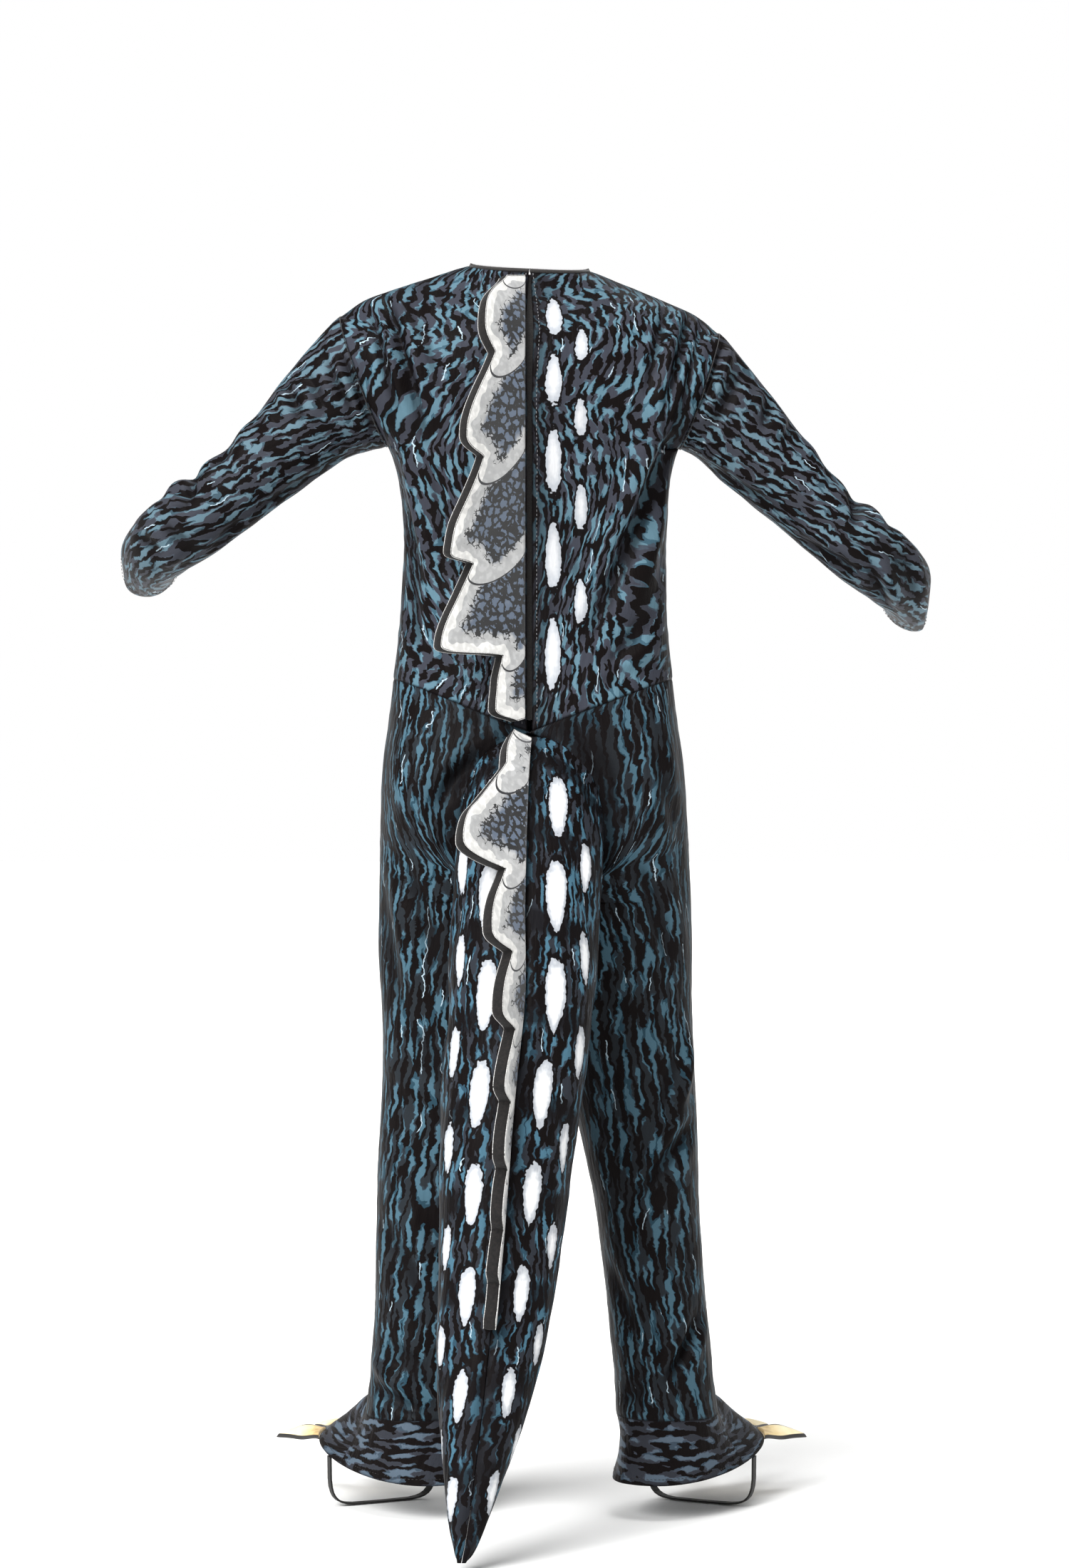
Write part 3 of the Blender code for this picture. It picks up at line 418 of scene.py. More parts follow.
def tail(turn, row, side):
    """A tail half: turn 0 at the crest line, 1 at the seam underneath; row from root to tip."""
    turn, row = np.broadcast_arrays(turn, row)
    at = row * (len(TAIL) - 1)
    i = np.minimum(at.astype(int), len(TAIL) - 2)
    share = at - i
    values = {}
    for name, col in zip(TAIL[0]._fields, np.array(TAIL).T):
        slopes = np.gradient(col)
        values[name] = curve(col[i], col[i + 1], slopes[i], slopes[i + 1], share)
    cosine = (1 + np.cos(np.pi * turn)) / 2
    y = mix(values["under_y"], values["top_y"], cosine)
    height = mix(values["under_height"], values["top_height"], cosine)
    first = TAIL[0]
    root_y = mix(first.under_y, first.top_y, cosine)
    seat_y = torso("back_y", mix(first.under_height, first.top_height, cosine)) - CLOTH / 2 - SEAM
    y = y + np.where(at < 1, 1 - ease(at), 0) * (seat_y - root_y)
    out = values["half_width"] * np.maximum(np.sin(np.pi * turn), 0) ** 0.94
    return xyz(values["x"] + side * (SEAM / 2 + out), y, height - ORIGIN_HEIGHT)


def spine(on_line, height):
    """Points, downward directions and outward normals of a line that a crest is sewn to."""
    down = unit(on_line(height - 0.004) - on_line(height + 0.004))
    return on_line(height), down, unit(np.cross(np.array((-1.0, 0.0, 0.0)), down))


def tail_line(at):
    return xyz(
        smooth(TAIL, "top_height", "x", at), smooth(TAIL, "top_height", "top_y", at),
        at - ORIGIN_HEIGHT,
    )


def back_line(at):
    share = np.interp(at, BACK_MIDDLE, range(4))
    point = bodice(np.full_like(share, -CREST_LEFT_OF_MIDDLE / HALF_BACK), share, BACK)
    return xyz(-CREST_LEFT_OF_MIDDLE, point[..., 1], at - ORIGIN_HEIGHT)


def plate_width(plate, end, share):
    """Width of the crest along one plate, which rises slowly to a round tip and then falls."""
    start = np.where(share > PLATE_TIP, end, plate.valley)
    rising = np.where(share > PLATE_TIP, (1 - share) / (1 - PLATE_TIP), share / PLATE_TIP)
    return start + (plate.reach - start) * np.sin(rising * np.pi / 2) ** 1.2


def crest_middle(line, plates, rows_each, columns):
    """The middle of a crest's foam, from its sewn edge to its outline, and its slab normals."""
    ends = [plate.valley for plate in plates[1:]] + [CREST_END]
    share = np.arange(rows_each) / rows_each
    height = np.concatenate([mix(p.upper, p.lower, share) for p in plates] + [[plates[-1].lower]])
    width = np.concatenate(
        [plate_width(p, end, share) for p, end in zip(plates, ends)] + [[CREST_END]]
    )
    point, down, outward = spine(line, height)
    lean = np.radians(smooth(LEAN, "height", "degrees", height))[:, None]
    stand = outward * np.cos(lean) + np.array((-1.0, 0.0, 0.0)) * np.sin(lean)
    foot = point + outward * (CLOTH / 2 + 0.0006 + CREST_THICKNESS / 2 * np.sin(lean))
    sweep = unit(stand * math.cos(CREST_SWEEP) + down * math.sin(CREST_SWEEP))
    reach = width[:, None] * columns
    normal = unit(np.cross(down, sweep))[:, None, :]
    return foot[:, None, :] + sweep[:, None, :] * reach[..., None], normal, reach


def claw(u, v, side, degrees):
    """The middle of a claw that starts just ahead of the foot cover's lower edge."""
    angle = math.radians(270 + degrees)
    heading = FOOT_TURN + math.radians(degrees) * 0.7
    ahead = np.array((side * math.sin(heading), math.cos(heading), 0.0))
    across = np.array((side * math.cos(heading), -math.sin(heading), 0.0))
    u, v = np.broadcast_arrays(u, v)
    share = v * 0.97
    half_width, bend = CLAW_HALF_WIDTH * (1 - share) ** 0.6, 0.006 * share * share
    u1 = u[..., None]
    straight = cover_hem(side, np.full(u.shape, angle)) + across * CLAW_HALF_WIDTH * u1
    curved = cover_hem(side, angle + CLAW_HALF_WIDTH / FOOT_HALF_WIDTH * u)
    root = straight + (curved - straight) * ((1 - v) ** 2)[..., None] + ahead * 0.0009
    beside = across * ((half_width - CLAW_HALF_WIDTH) * u + bend)[..., None]
    return root + ahead * CLAW_LENGTH * v[..., None] + beside - xyz(0, 0, 0.006 * v * v)


SHELL = 0.0009          # thickness of the knit that shows
OPENING_HALF = 0.0026   # half the visible space between the two back panels
SEAM_ROLL = 0.0003      # how far a seam pulls the cloth in
CREASE_GAIN = 1.7       # how much deeper the creases are drawn than the tables say
PUCKER = 0.00035        # how far a seam's puckers stand out

# Creases by piece, in mm: three points of a line at (x, height), on the back, the front or the
# top, with the width of the ridge (+) or trough (-) and its depth
Crease = namedtuple("Crease", "face x1 h1 x2 h2 x3 h3 width depth")


def crease_rows(**rows):
    faces = {"back": BACK, "front": FRONT, "top": TOP}
    return tuple(Crease(faces[face], *row) for face in rows for row in rows[face])


BACK_CREASES = crease_rows(
    back=(
        (109, 914, 96, 857, 47, 733, 12, 5.6), (117, 878, 91, 816, 50, 720, 9, -6.2),
        (112, 850, 100, 790, 88, 735, 9, 2.2), (129, 979, 121, 932, 106, 893, 4.5, -3.2),
        (140, 972, 131, 927, 119, 883, 4, -2.6), (20, 800, 35, 762, 60, 742, 8, -1.5),
        (96, 735, 80, 705, 60, 682, 8, -2.2), (102, 704, 75, 692, 40, 672, 6, 1.8),
        (70, 900, 52, 860, 46, 810, 12, 1.6), (-128, 977, -117, 932, -106, 895, 4.5, -3.2),
        (-116, 990, -100, 940, -82, 867, 4.5, -3.0), (-103, 990, -97, 972, -90, 950, 4, -1.8),
        (-121, 985, -110, 935, -95, 880, 4, 2.4), (-95, 1000, -84, 950, -70, 900, 5, -1.6),
        (124, 985, 115, 938, 100, 893, 4, 2.2), (112, 990, 104, 945, 92, 900, 4.5, -2.4),
        (-109, 857, -97, 800, -84, 745, 7, -3.2), (-100, 862, -88, 800, -74, 735, 8, 2.8),
        (-98, 770, -92, 730, -88, 700, 6, -2.0), (-60, 760, -68, 720, -74, 692, 8, 1.6),
    ),
)
FRONT_CREASES = crease_rows(
    front=(
        (80, 840, 52, 790, 20, 722, 12, 3.2), (96, 820, 70, 762, 48, 714, 9, -3.2),
        (-80, 842, -56, 790, -30, 730, 12, 3.0), (-95, 826, -74, 770, -56, 722, 9, -3.0),
        (127, 960, 117, 925, 108, 893, 5, -2.8), (-126, 965, -117, 927, -106, 890, 5, -2.8),
        (62, 930, 4, 902, -58, 934, 14, -1.8), (44, 700, 2, 688, -46, 702, 9, 1.8),
        (50, 880, 30, 850, 24, 800, 10, 1.4),
    ),
)
SLEEVE_CREASES = {
    "left": crease_rows(
        top=(
            (-231, 940, -235, 870, -240, 800, 8, 1.6), (-256, 920, -260, 860, -264, 800, 9, 2.0),
            (-270, 920, -274, 860, -278, 800, 5, -1.5), (-284, 900, -288, 840, -292, 780, 8, 1.7),
            (-298, 900, -301, 840, -304, 780, 5, -0.9),
        ),
        back=(
            (-150, 938, -138, 908, -124, 877, 4, -3.6), (-157, 937, -145, 911, -132, 885, 4, 2.2),
            (-164, 937, -153, 915, -141, 893, 4, -3.0), (-180, 927, -170, 908, -164, 894, 4.5, -2.8),
            (-195, 916, -190, 901, -183, 887, 5, -3.0), (-204, 915, -199, 903, -196, 892, 4, 2.6),
            (-215, 899, -208, 890, -204, 880, 4, 2.2), (-133, 866, -176, 843, -226, 811, 5, -3.0),
            (-245, 865, -263, 853, -276, 840, 5, -4.5), (-250, 872, -269, 862, -284, 845, 6, 4.5),
            (-293, 828, -279, 834, -266, 831, 4, -2.6), (-285, 813, -281, 824, -272, 838, 4, -2.6),
            (-290, 815, -284, 826, -277, 840, 4, 2.2), (-229, 801, -237, 793, -251, 777, 6, 3.0),
            (-232, 808, -243, 798, -258, 783, 5, -3.2), (-320, 800, -312, 789, -299, 782, 5, -2.0),
            (-299, 806, -288, 793, -273, 787, 6, -2.6), (-284, 783, -294, 776, -300, 768, 5, 2.2),
        ),
        front=(
            (-152, 935, -142, 905, -128, 880, 5, -3.0), (-172, 925, -163, 900, -152, 880, 5, -2.4),
            (-262, 850, -262, 834, -250, 818, 8, -3.6), (-278, 846, -272, 830, -264, 812, 7, 2.4),
            (-200, 880, -215, 862, -236, 850, 8, 1.6),
        ),
    ),
    "right": crease_rows(
        top=(
            (226, 920, 230, 860, 234, 800, 8, 1.6), (246, 920, 251, 850, 256, 790, 9, 1.5),
            (261, 900, 265, 840, 269, 780, 5, -1.2), (275, 900, 279, 830, 283, 770, 8, 1.2),
            (289, 890, 293, 820, 297, 760, 5, -0.8),
        ),
        back=(
            (156, 953, 146, 914, 128, 886, 4, -3.6), (163, 945, 153, 912, 137, 884, 4, 2.2),
            (173, 930, 161, 905, 147, 880, 5, -2.4), (187, 912, 184, 903, 181, 892, 4, 2.6),
            (197, 903, 193, 893, 188, 881, 4, -2.4), (208, 893, 203, 883, 199, 872, 4, 2.4),
            (121, 863, 166, 837, 202, 812, 5, -2.8), (135, 852, 175, 829, 206, 806, 4, 2.0),
            (247, 843, 269, 827, 281, 808, 5, -3.8), (252, 850, 275, 833, 289, 812, 5, 3.8),
            (262, 838, 268, 819, 262, 800, 4.5, -2.2), (215, 795, 245, 779, 268, 765, 5, -2.6),
            (225, 801, 255, 784, 276, 772, 5, 2.0), (276, 774, 281, 756, 302, 730, 5, -3.6),
            (284, 780, 291, 758, 311, 736, 6, 3.0), (301, 790, 312, 770, 318, 748, 5, -2.0),
            (266, 792, 290, 785, 306, 776, 5, -1.6),
        ),
        front=(
            (152, 930, 143, 902, 130, 876, 5, -3.0), (172, 918, 162, 894, 152, 872, 5, -2.4),
            (262, 832, 262, 816, 250, 800, 8, -3.6), (278, 828, 272, 812, 264, 796, 7, 2.4),
            (205, 868, 222, 850, 240, 836, 8, 1.6),
        ),
    ),
}
LEG_CREASES = {
    "left": crease_rows(
        back=(
            (-28, 630, -57, 620, -74, 597, 8, 3.2), (-44, 615, -61, 602, -70, 578, 8, -4.2),
            (-121, 520, -113, 456, -105, 412, 7, -2.8), (-101, 526, -86, 495, -74, 462, 7, -2.6),
            (-112, 530, -99, 480, -88, 430, 9, 2.4), (-97, 403, -78, 381, -66, 358, 7, -2.2),
            (-112, 372, -96, 350, -74, 340, 9, 2.2), (-119, 242, -100, 219, -82, 172, 7, -2.4),
            (-105, 262, -88, 236, -74, 200, 8, 2.0), (-130, 130, -104, 111, -78, 99, 6, 3.4),
            (-128, 109, -107, 96, -81, 88, 6, -3.4), (-114, 149, -99, 131, -80, 123, 6, -2.6),
        ),
        front=(
            (-118, 350, -96, 322, -70, 316, 9, -3.4), (-112, 318, -92, 300, -66, 298, 8, 2.6),
            (-60, 600, -84, 585, -104, 556, 11, 3.0), (-48, 580, -72, 556, -92, 520, 9, -3.0),
            (-118, 170, -96, 150, -72, 146, 7, -2.8), (-122, 142, -98, 128, -74, 130, 6, 3.0),
        ),
    ),
    "right": crease_rows(
        back=(
            (20, 630, 43, 612, 58, 587, 8, 3.0), (51, 618, 62, 595, 65, 564, 9, -3.4),
            (97, 630, 113, 583, 122, 546, 6, -2.6), (85, 534, 102, 495, 113, 452, 8, -2.4),
            (74, 520, 88, 482, 100, 436, 9, 2.0), (130, 396, 127, 356, 115, 326, 6, 3.2),
            (121, 390, 117, 354, 104, 330, 6, -2.4), (132, 337, 107, 305, 88, 274, 7, 3.2),
            (128, 318, 105, 285, 84, 262, 7, -3.2), (62, 212, 75, 179, 86, 150, 6, -2.2),
            (138, 168, 131, 139, 110, 117, 5, -4.2), (126, 162, 115, 134, 93, 112, 6, 3.2),
            (98, 124, 90, 104, 74, 92, 6, -2.6), (104, 236, 110, 206, 120, 180, 8, 2.0),
        ),
        front=(
            (122, 348, 100, 320, 74, 312, 9, -3.4), (114, 314, 94, 298, 68, 296, 8, 2.6),
            (62, 602, 86, 582, 106, 552, 11, 3.0), (50, 582, 74, 556, 94, 516, 9, -3.0),
            (130, 172, 104, 152, 82, 148, 7, -2.8), (128, 140, 106, 128, 84, 130, 6, 3.0),
        ),
    ),
}

# Pale printed ovals: their place across and along a piece, half width and half length, in mm
Oval = namedtuple("Oval", "across along half_width half_length")
BACK_OVALS = tuple(
    Oval(across, along, half_width, half_length)
    for across, half_width, half_length, first, step, count in (
        (17, 6.2, 25.0, 50, 72, 5),
        (39, 5.0, 17.0, 86, 72, 4),
    )
    for along in (first + step * k for k in range(count))
)
TAIL_OVALS = tuple(
    Oval(across * size, along, half_width * size, half_length * size)
    for across, half_width, half_length, first in ((27, 8.4, 28, 74), (56, 6.4, 21, 112))
    for along, size in ((first + 76 * k, 1.0 - 0.075 * max(k - 2, 0)) for k in range(9))
    if along < 640
)


def spread(count, dense=0.6):
    """Values from 0 to 1, closer together at both ends."""
    t = np.linspace(0, 1, count)
    return t - dense * np.sin(2 * np.pi * t) / (2 * np.pi)


def soft_noise(u, v, seed):
    """Smooth noise from -1 to 1 with about one feature per unit."""
    lattice = np.random.default_rng(seed).uniform(-1, 1, (64, 64))
    i, j = np.floor(u).astype(int), np.floor(v).astype(int)
    s, t = ease(u - i), ease(v - j)
    low = mix(lattice[i % 64, j % 64], lattice[(i + 1) % 64, j % 64], s)
    high = mix(lattice[i % 64, (j + 1) % 64], lattice[(i + 1) % 64, (j + 1) % 64], s)
    return mix(low, high, t)


def running_length(points, axis):
    steps = np.linalg.norm(np.diff(points, axis=axis), axis=-1)
    padding = [(0, 0), (0, 0)]
    padding[axis] = (1, 0)
    return np.cumsum(np.pad(steps, padding), axis=axis)


def grid_normals(points, closed=False):
    if closed:
        points = np.concatenate([points[:, -1:], points, points[:, :1]], axis=1)
    normals = unit(np.cross(np.gradient(points, axis=1), np.gradient(points, axis=0)))
    return normals[:, 1:-1] if closed else normals


def crease_depth(points, normals, creases):
    """How far the creases move each point outwards, in metres."""
    x, height = points[..., 0] * 1000, (points[..., 2] + ORIGIN_HEIGHT) * 1000
    total = np.zeros(x.shape)
    for crease in creases:
        t = np.linspace(0, 1, 9)
        line_x = (1 - t) ** 2 * crease.x1 + 2 * t * (1 - t) * crease.x2 + t * t * crease.x3
        line_h = (1 - t) ** 2 * crease.h1 + 2 * t * (1 - t) * crease.h2 + t * t * crease.h3
        nearest, along, side = np.full(x.shape, 1e9), np.zeros(x.shape), np.zeros(x.shape)
        for k in range(8):
            run_x, run_h = line_x[k + 1] - line_x[k], line_h[k + 1] - line_h[k]
            length = math.hypot(run_x, run_h)
            off_x, off_h = x - line_x[k], height - line_h[k]
            share = np.clip((off_x * run_x + off_h * run_h) / length**2, 0, 1)
            away = np.hypot(off_x - share * run_x, off_h - share * run_h)
            closer = away < nearest
            nearest = np.where(closer, away, nearest)
            along = np.where(closer, (k + share) / 8, along)
            side = np.where(closer, (off_h * run_x - off_x * run_h) / length, side)
        away = np.copysign(nearest, side) / crease.width
        profile = bell(away, 1) - 0.45 * bell(away - 1.7, 1.1)
        taper = np.sin(np.pi * np.clip(along * 0.92 + 0.04, 0, 1)) ** 0.8
        towards = normals[..., 2] if crease.face == TOP else normals[..., 1] * crease.face
        seen = ease(1.6 * towards)
        total += crease.depth * profile * taper * seen
    return total / 1000


def oval_distance(across, along, ovals):
    """About how far each point lies outside the nearest oval, in metres; negative inside."""
    nearest = np.full(across.shape, 0.02)
    for oval in ovals:
        rise = (along * 1000 - oval.along) / oval.half_length
        out = (across * 1000 - oval.across) / (oval.half_width * (1 - 0.22 * np.clip(rise, -1, 1)))
        nearest = np.minimum(nearest, (np.hypot(out, rise) - 1) * oval.half_width / 1000)
    return nearest


def grid_faces(rows, columns, closed=False, flip=False):
    i, j = np.meshgrid(np.arange(columns if closed else columns - 1), np.arange(rows - 1))
    low, high, step = j * columns, (j + 1) * columns, (i + 1) % columns
    faces = np.stack([low + i, low + step, high + step, high + i], -1).reshape(-1, 4)
    return faces[:, ::-1] if flip else faces


def grid_border(rows, columns):
    """The numbers of a grid's outermost points, in order round it."""
    return np.concatenate([
        np.arange(columns), np.arange(1, rows) * columns + columns - 1,
        (rows - 1) * columns + np.arange(columns - 1)[::-1], np.arange(1, rows - 1)[::-1] * columns,
    ])


def band_faces(upper, lower):
    """Faces between two closed runs of points."""
    return np.stack([upper, lower, np.roll(lower, -1), np.roll(upper, -1)], -1)


def add_object(name, data, slot_name=None):
    """Puts an object in the scene. One with a slot is part of the costume and rides its body."""
    thing = bpy.data.objects.new(name, data)
    bpy.context.scene.collection.objects.link(thing)
    if slot_name:
        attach(thing, "root")
    return thing


def add_piece(name, points, faces, materials, slot_name, nodes=(), uv=None, wrap=None, fields=None):
    """A mesh from arrays. `uv` is in metres; `wrap` is what it grows by where a tube closes."""
    mesh = bpy.data.meshes.new(name)
    mesh.from_pydata(points.reshape(-1, 3).tolist(), [], [list(face) for face in faces])
    for material in materials:
        mesh.materials.append(material)
    if uv is not None:
        corners = np.zeros(len(mesh.loops), int)
        mesh.loops.foreach_get("vertex_index", corners)
        flat = uv.reshape(-1, 2)[corners]
        if wrap is not None:
            columns = points.shape[1]
            column_at = (corners % columns).reshape(-1, 4)
            crossing = (column_at.max(axis=1) == columns - 1) & (column_at.min(axis=1) == 0)
            behind = (crossing[:, None] & (column_at == 0)).reshape(-1)
            flat[behind, 0] += wrap[corners[behind] // columns]
        layer = mesh.uv_layers.new(name="flat")
        layer.data.foreach_set("uv", flat.astype(np.float32).ravel())
    for field, values in (fields or {}).items():
        attribute = mesh.attributes.new(field, "FLOAT", "POINT")
        attribute.data.foreach_set("value", values.astype(np.float32).ravel())
    mesh.shade_smooth()
    thing = add_object(name, mesh, slot_name)
    if nodes:
        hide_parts(*nodes)
    return thing


def reach_further(points, distance, closed):
    """Moves a grid's upper edge, and a panel's two sides, outwards along the surface."""
    points = points.copy()
    points[0] += unit(points[0] - points[1]) * distance
    if not closed:
        for edge, inner in ((0, 1), (-1, -2)):
            points[:, edge] += unit(points[:, edge] - points[:, inner]) * distance
    return points


def add_cloth(name, points, outward, creases, seed, material, middle=0, closed=False,
              ovals=(), shade_and_dark_marks=0.0, tuck=0.0005):
    """A panel or tube of the knit: seams rolled in, creases, soft unevenness, then a thin wall.

    Its seam edges reach `tuck` further than the solid's, so that neighbours meet in the seam.
    """
    points = reach_further(points, tuck, closed)
    normals = grid_normals(points, closed) * outward
    across, along = running_length(points, 1), running_length(points, 0)
    circle = across[:, -1] + np.linalg.norm(points[:, -1] - points[:, 0], axis=-1)
    low_high = np.minimum(along, along[-1] - along)
    sides = np.minimum(across, across[:, -1:] - across)
    from_seam = low_high if closed else np.minimum(low_high, sides)
    u = across - across[:, middle : middle + 1]
    v = np.broadcast_to(along.mean(axis=1)[:, None], u.shape)
    folds = CREASE_GAIN * crease_depth(points, normals, creases)
    lift = folds + 0.0009 * soft_noise(u / 0.028 + 9, v / 0.034, seed)
    lift = lift + 0.00035 * soft_noise(u / 0.009, v / 0.016 + 5, seed + 1)
    lift = lift * ease(from_seam / 0.009)
    pucker = soft_noise(u / 0.0075, np.zeros_like(v), seed + 2) * bell(low_high, 0.007)
    if not closed:
        beside = soft_noise(v / 0.0075, np.zeros_like(v), seed + 3)
        pucker = pucker + beside * bell(sides, 0.007)
    lift = lift + PUCKER * pucker * ease(from_seam / 0.002)
    lift = lift - SEAM_ROLL * bell(from_seam, 0.0016)
    shown = points + normals * lift[..., None]
    # painted shade: the print is darkened in the troughs of the creases
    painted_crease_shade = 0.62 * ease(-folds / 0.0030)
    stitched = 0.85 * bell(from_seam, 0.0013)
    # painted shade: open panels grow darker where they turn sideways, away from the back and front
    turned = 0.55 * ease((0.62 - abs(normals[..., 1])) / 0.5) * (0 if closed else 1)
    # one field for the print: painted shade in the crease troughs, on the turned sides and passed in
    # by the builder, with dark seam lines
    dark = 1 - (1 - painted_crease_shade) * (1 - stitched) * (1 - turned) * (1 - shade_and_dark_marks)
    allowance = bell(from_seam, 0.0045)
    fields = {"oval": oval_distance(abs(u), v, ovals), "shade_and_dark_marks": dark, "allowance": allowance}
    rows, columns = u.shape
    start = OFFSETS[name.split("_")[-1]]
    if "front" in name:
        start = (start[0] + FRONT_OFFSET[0], start[1] + FRONT_OFFSET[1])
    thing = add_piece(
        name + "_knit", shown, grid_faces(rows, columns, closed, outward < 0),
        (material, MATERIALS["knit reverse"]), "printed_knit", (name,),
        np.stack([u + start[0], v + start[1]], -1),
        circle if closed else None, fields,
    )
    wall = thing.modifiers.new("wall", "SOLIDIFY")
    wall.thickness, wall.offset, wall.material_offset = SHELL, 0.0, 1
    return thing


def shade(hex_colour):
    """A hex colour, as it looks on a screen, as linear RGBA."""
    parts = [int(hex_colour[i : i + 2], 16) / 255 for i in (1, 3, 5)]
    return (*(c / 12.92 if c <= 0.04045 else ((c + 0.055) / 1.055) ** 2.4 for c in parts), 1.0)


def add_node(tree, kind, inputs=None, **settings):
    """Adds a node with its settings; an input that is a socket is linked, any other is set."""
    node = tree.nodes.new(kind)
    for key, value in settings.items():
        setattr(node, key, value)
    for key, value in (inputs or {}).items():
        if isinstance(value, bpy.types.NodeSocket):
            tree.links.new(value, node.inputs[key])
        else:
            node.inputs[key].default_value = value
    return node


class Recipe:
    """A new material whose shader is built up from a few kinds of nodes."""

    def __init__(self, name, roughness, **sockets):
        self.material = bpy.data.materials.new(name)
        self.material.use_nodes = True
        self.tree = self.material.node_tree
        self.shader = self.tree.nodes["Principled BSDF"]
        self.shader.inputs["Roughness"].default_value = roughness
        for key, value in sockets.items():
            self.shader.inputs[key.replace("_", " ")].default_value = value
        self.node = functools.partial(add_node, self.tree)
        self.relief = None

    def at(self):
        return self.node("ShaderNodeTexCoord").outputs["Object"]

    def flat(self):
        return self.node("ShaderNodeUVMap", uv_map="flat").outputs["UV"]

    def field(self, name):
        return self.node("ShaderNodeAttribute", attribute_name=name).outputs["Fac"]

    def noise(self, vector, scale, detail, output="Fac", **settings):
        inputs = {"Vector": vector, "Scale": scale, "Detail": detail}
        return self.node("ShaderNodeTexNoise", inputs, **settings).outputs[output]

    def calc(self, operation, *values):
        return self.node("ShaderNodeMath", dict(enumerate(values)), operation=operation).outputs[0]

    def vector(self, operation, *values):
        inputs = dict(enumerate(values))
        return self.node("ShaderNodeVectorMath", inputs, operation=operation).outputs[0]

    def scaled(self, vector, scale, start=(0, 0, 0)):
        inputs = {"Vector": vector, "Scale": scale, "Location": start}
        return self.node("ShaderNodeMapping", inputs).outputs[0]

    def span(self, value, start, end, low=0.0, high=1.0, **settings):
        """Goes from `low` to `high` while the value goes from `start` to `end`."""
        inputs = {"Value": value, "From Min": start, "From Max": end, "To Min": low, "To Max": high}
        return self.node("ShaderNodeMapRange", inputs, **settings).outputs[0]

    def blend(self, share, under, over, **settings):
        under, over = (shade(c) if isinstance(c, str) else c for c in (under, over))
        inputs = {"Factor": share, 6: under, 7: over}
        return self.node("ShaderNodeMix", inputs, data_type="RGBA", **settings).outputs[2]

    def tone(self, value, stops, interpolation="LINEAR"):
        """A colour for each value, from pairs of a value and its colour."""
        ramp = self.node("ShaderNodeValToRGB", {"Fac": value})
        ramp.color_ramp.interpolation = interpolation
        elements = ramp.color_ramp.elements
        while len(elements) > 1:
            elements.remove(elements[-1])
        for number, (place, colour) in enumerate(stops):
            element = elements.new(place) if number else elements[0]
            element.position, element.color = place, shade(colour)
        return ramp.outputs["Color"]

    def bump(self, height, distance, strength):
        """Relief up to `distance` metres deep, over any that was added before."""
        inputs = {"Height": height, "Distance": distance, "Strength": strength}
        if self.relief is not None:
            inputs["Normal"] = self.relief
        self.relief = self.node("ShaderNodeBump", inputs).outputs["Normal"]
        self.tree.links.new(self.relief, self.shader.inputs["Normal"])

    def finished(self, colour):
        self.tree.links.new(colour, self.shader.inputs["Base Color"])
        return self.material


GROUND = "#110E0E"      # the near-black ground of the print
SHADE_AND_OVAL_RIM = "#121011"        # the near-black that painted shade fades the print to, and the rim of an oval
WAVE_TURN = 0.31416     # scale of a wave texture whose waves are 1 m apart
STREAKS_A_WAVE = 1.6    # how many streaks' widths each wave of the even spread takes


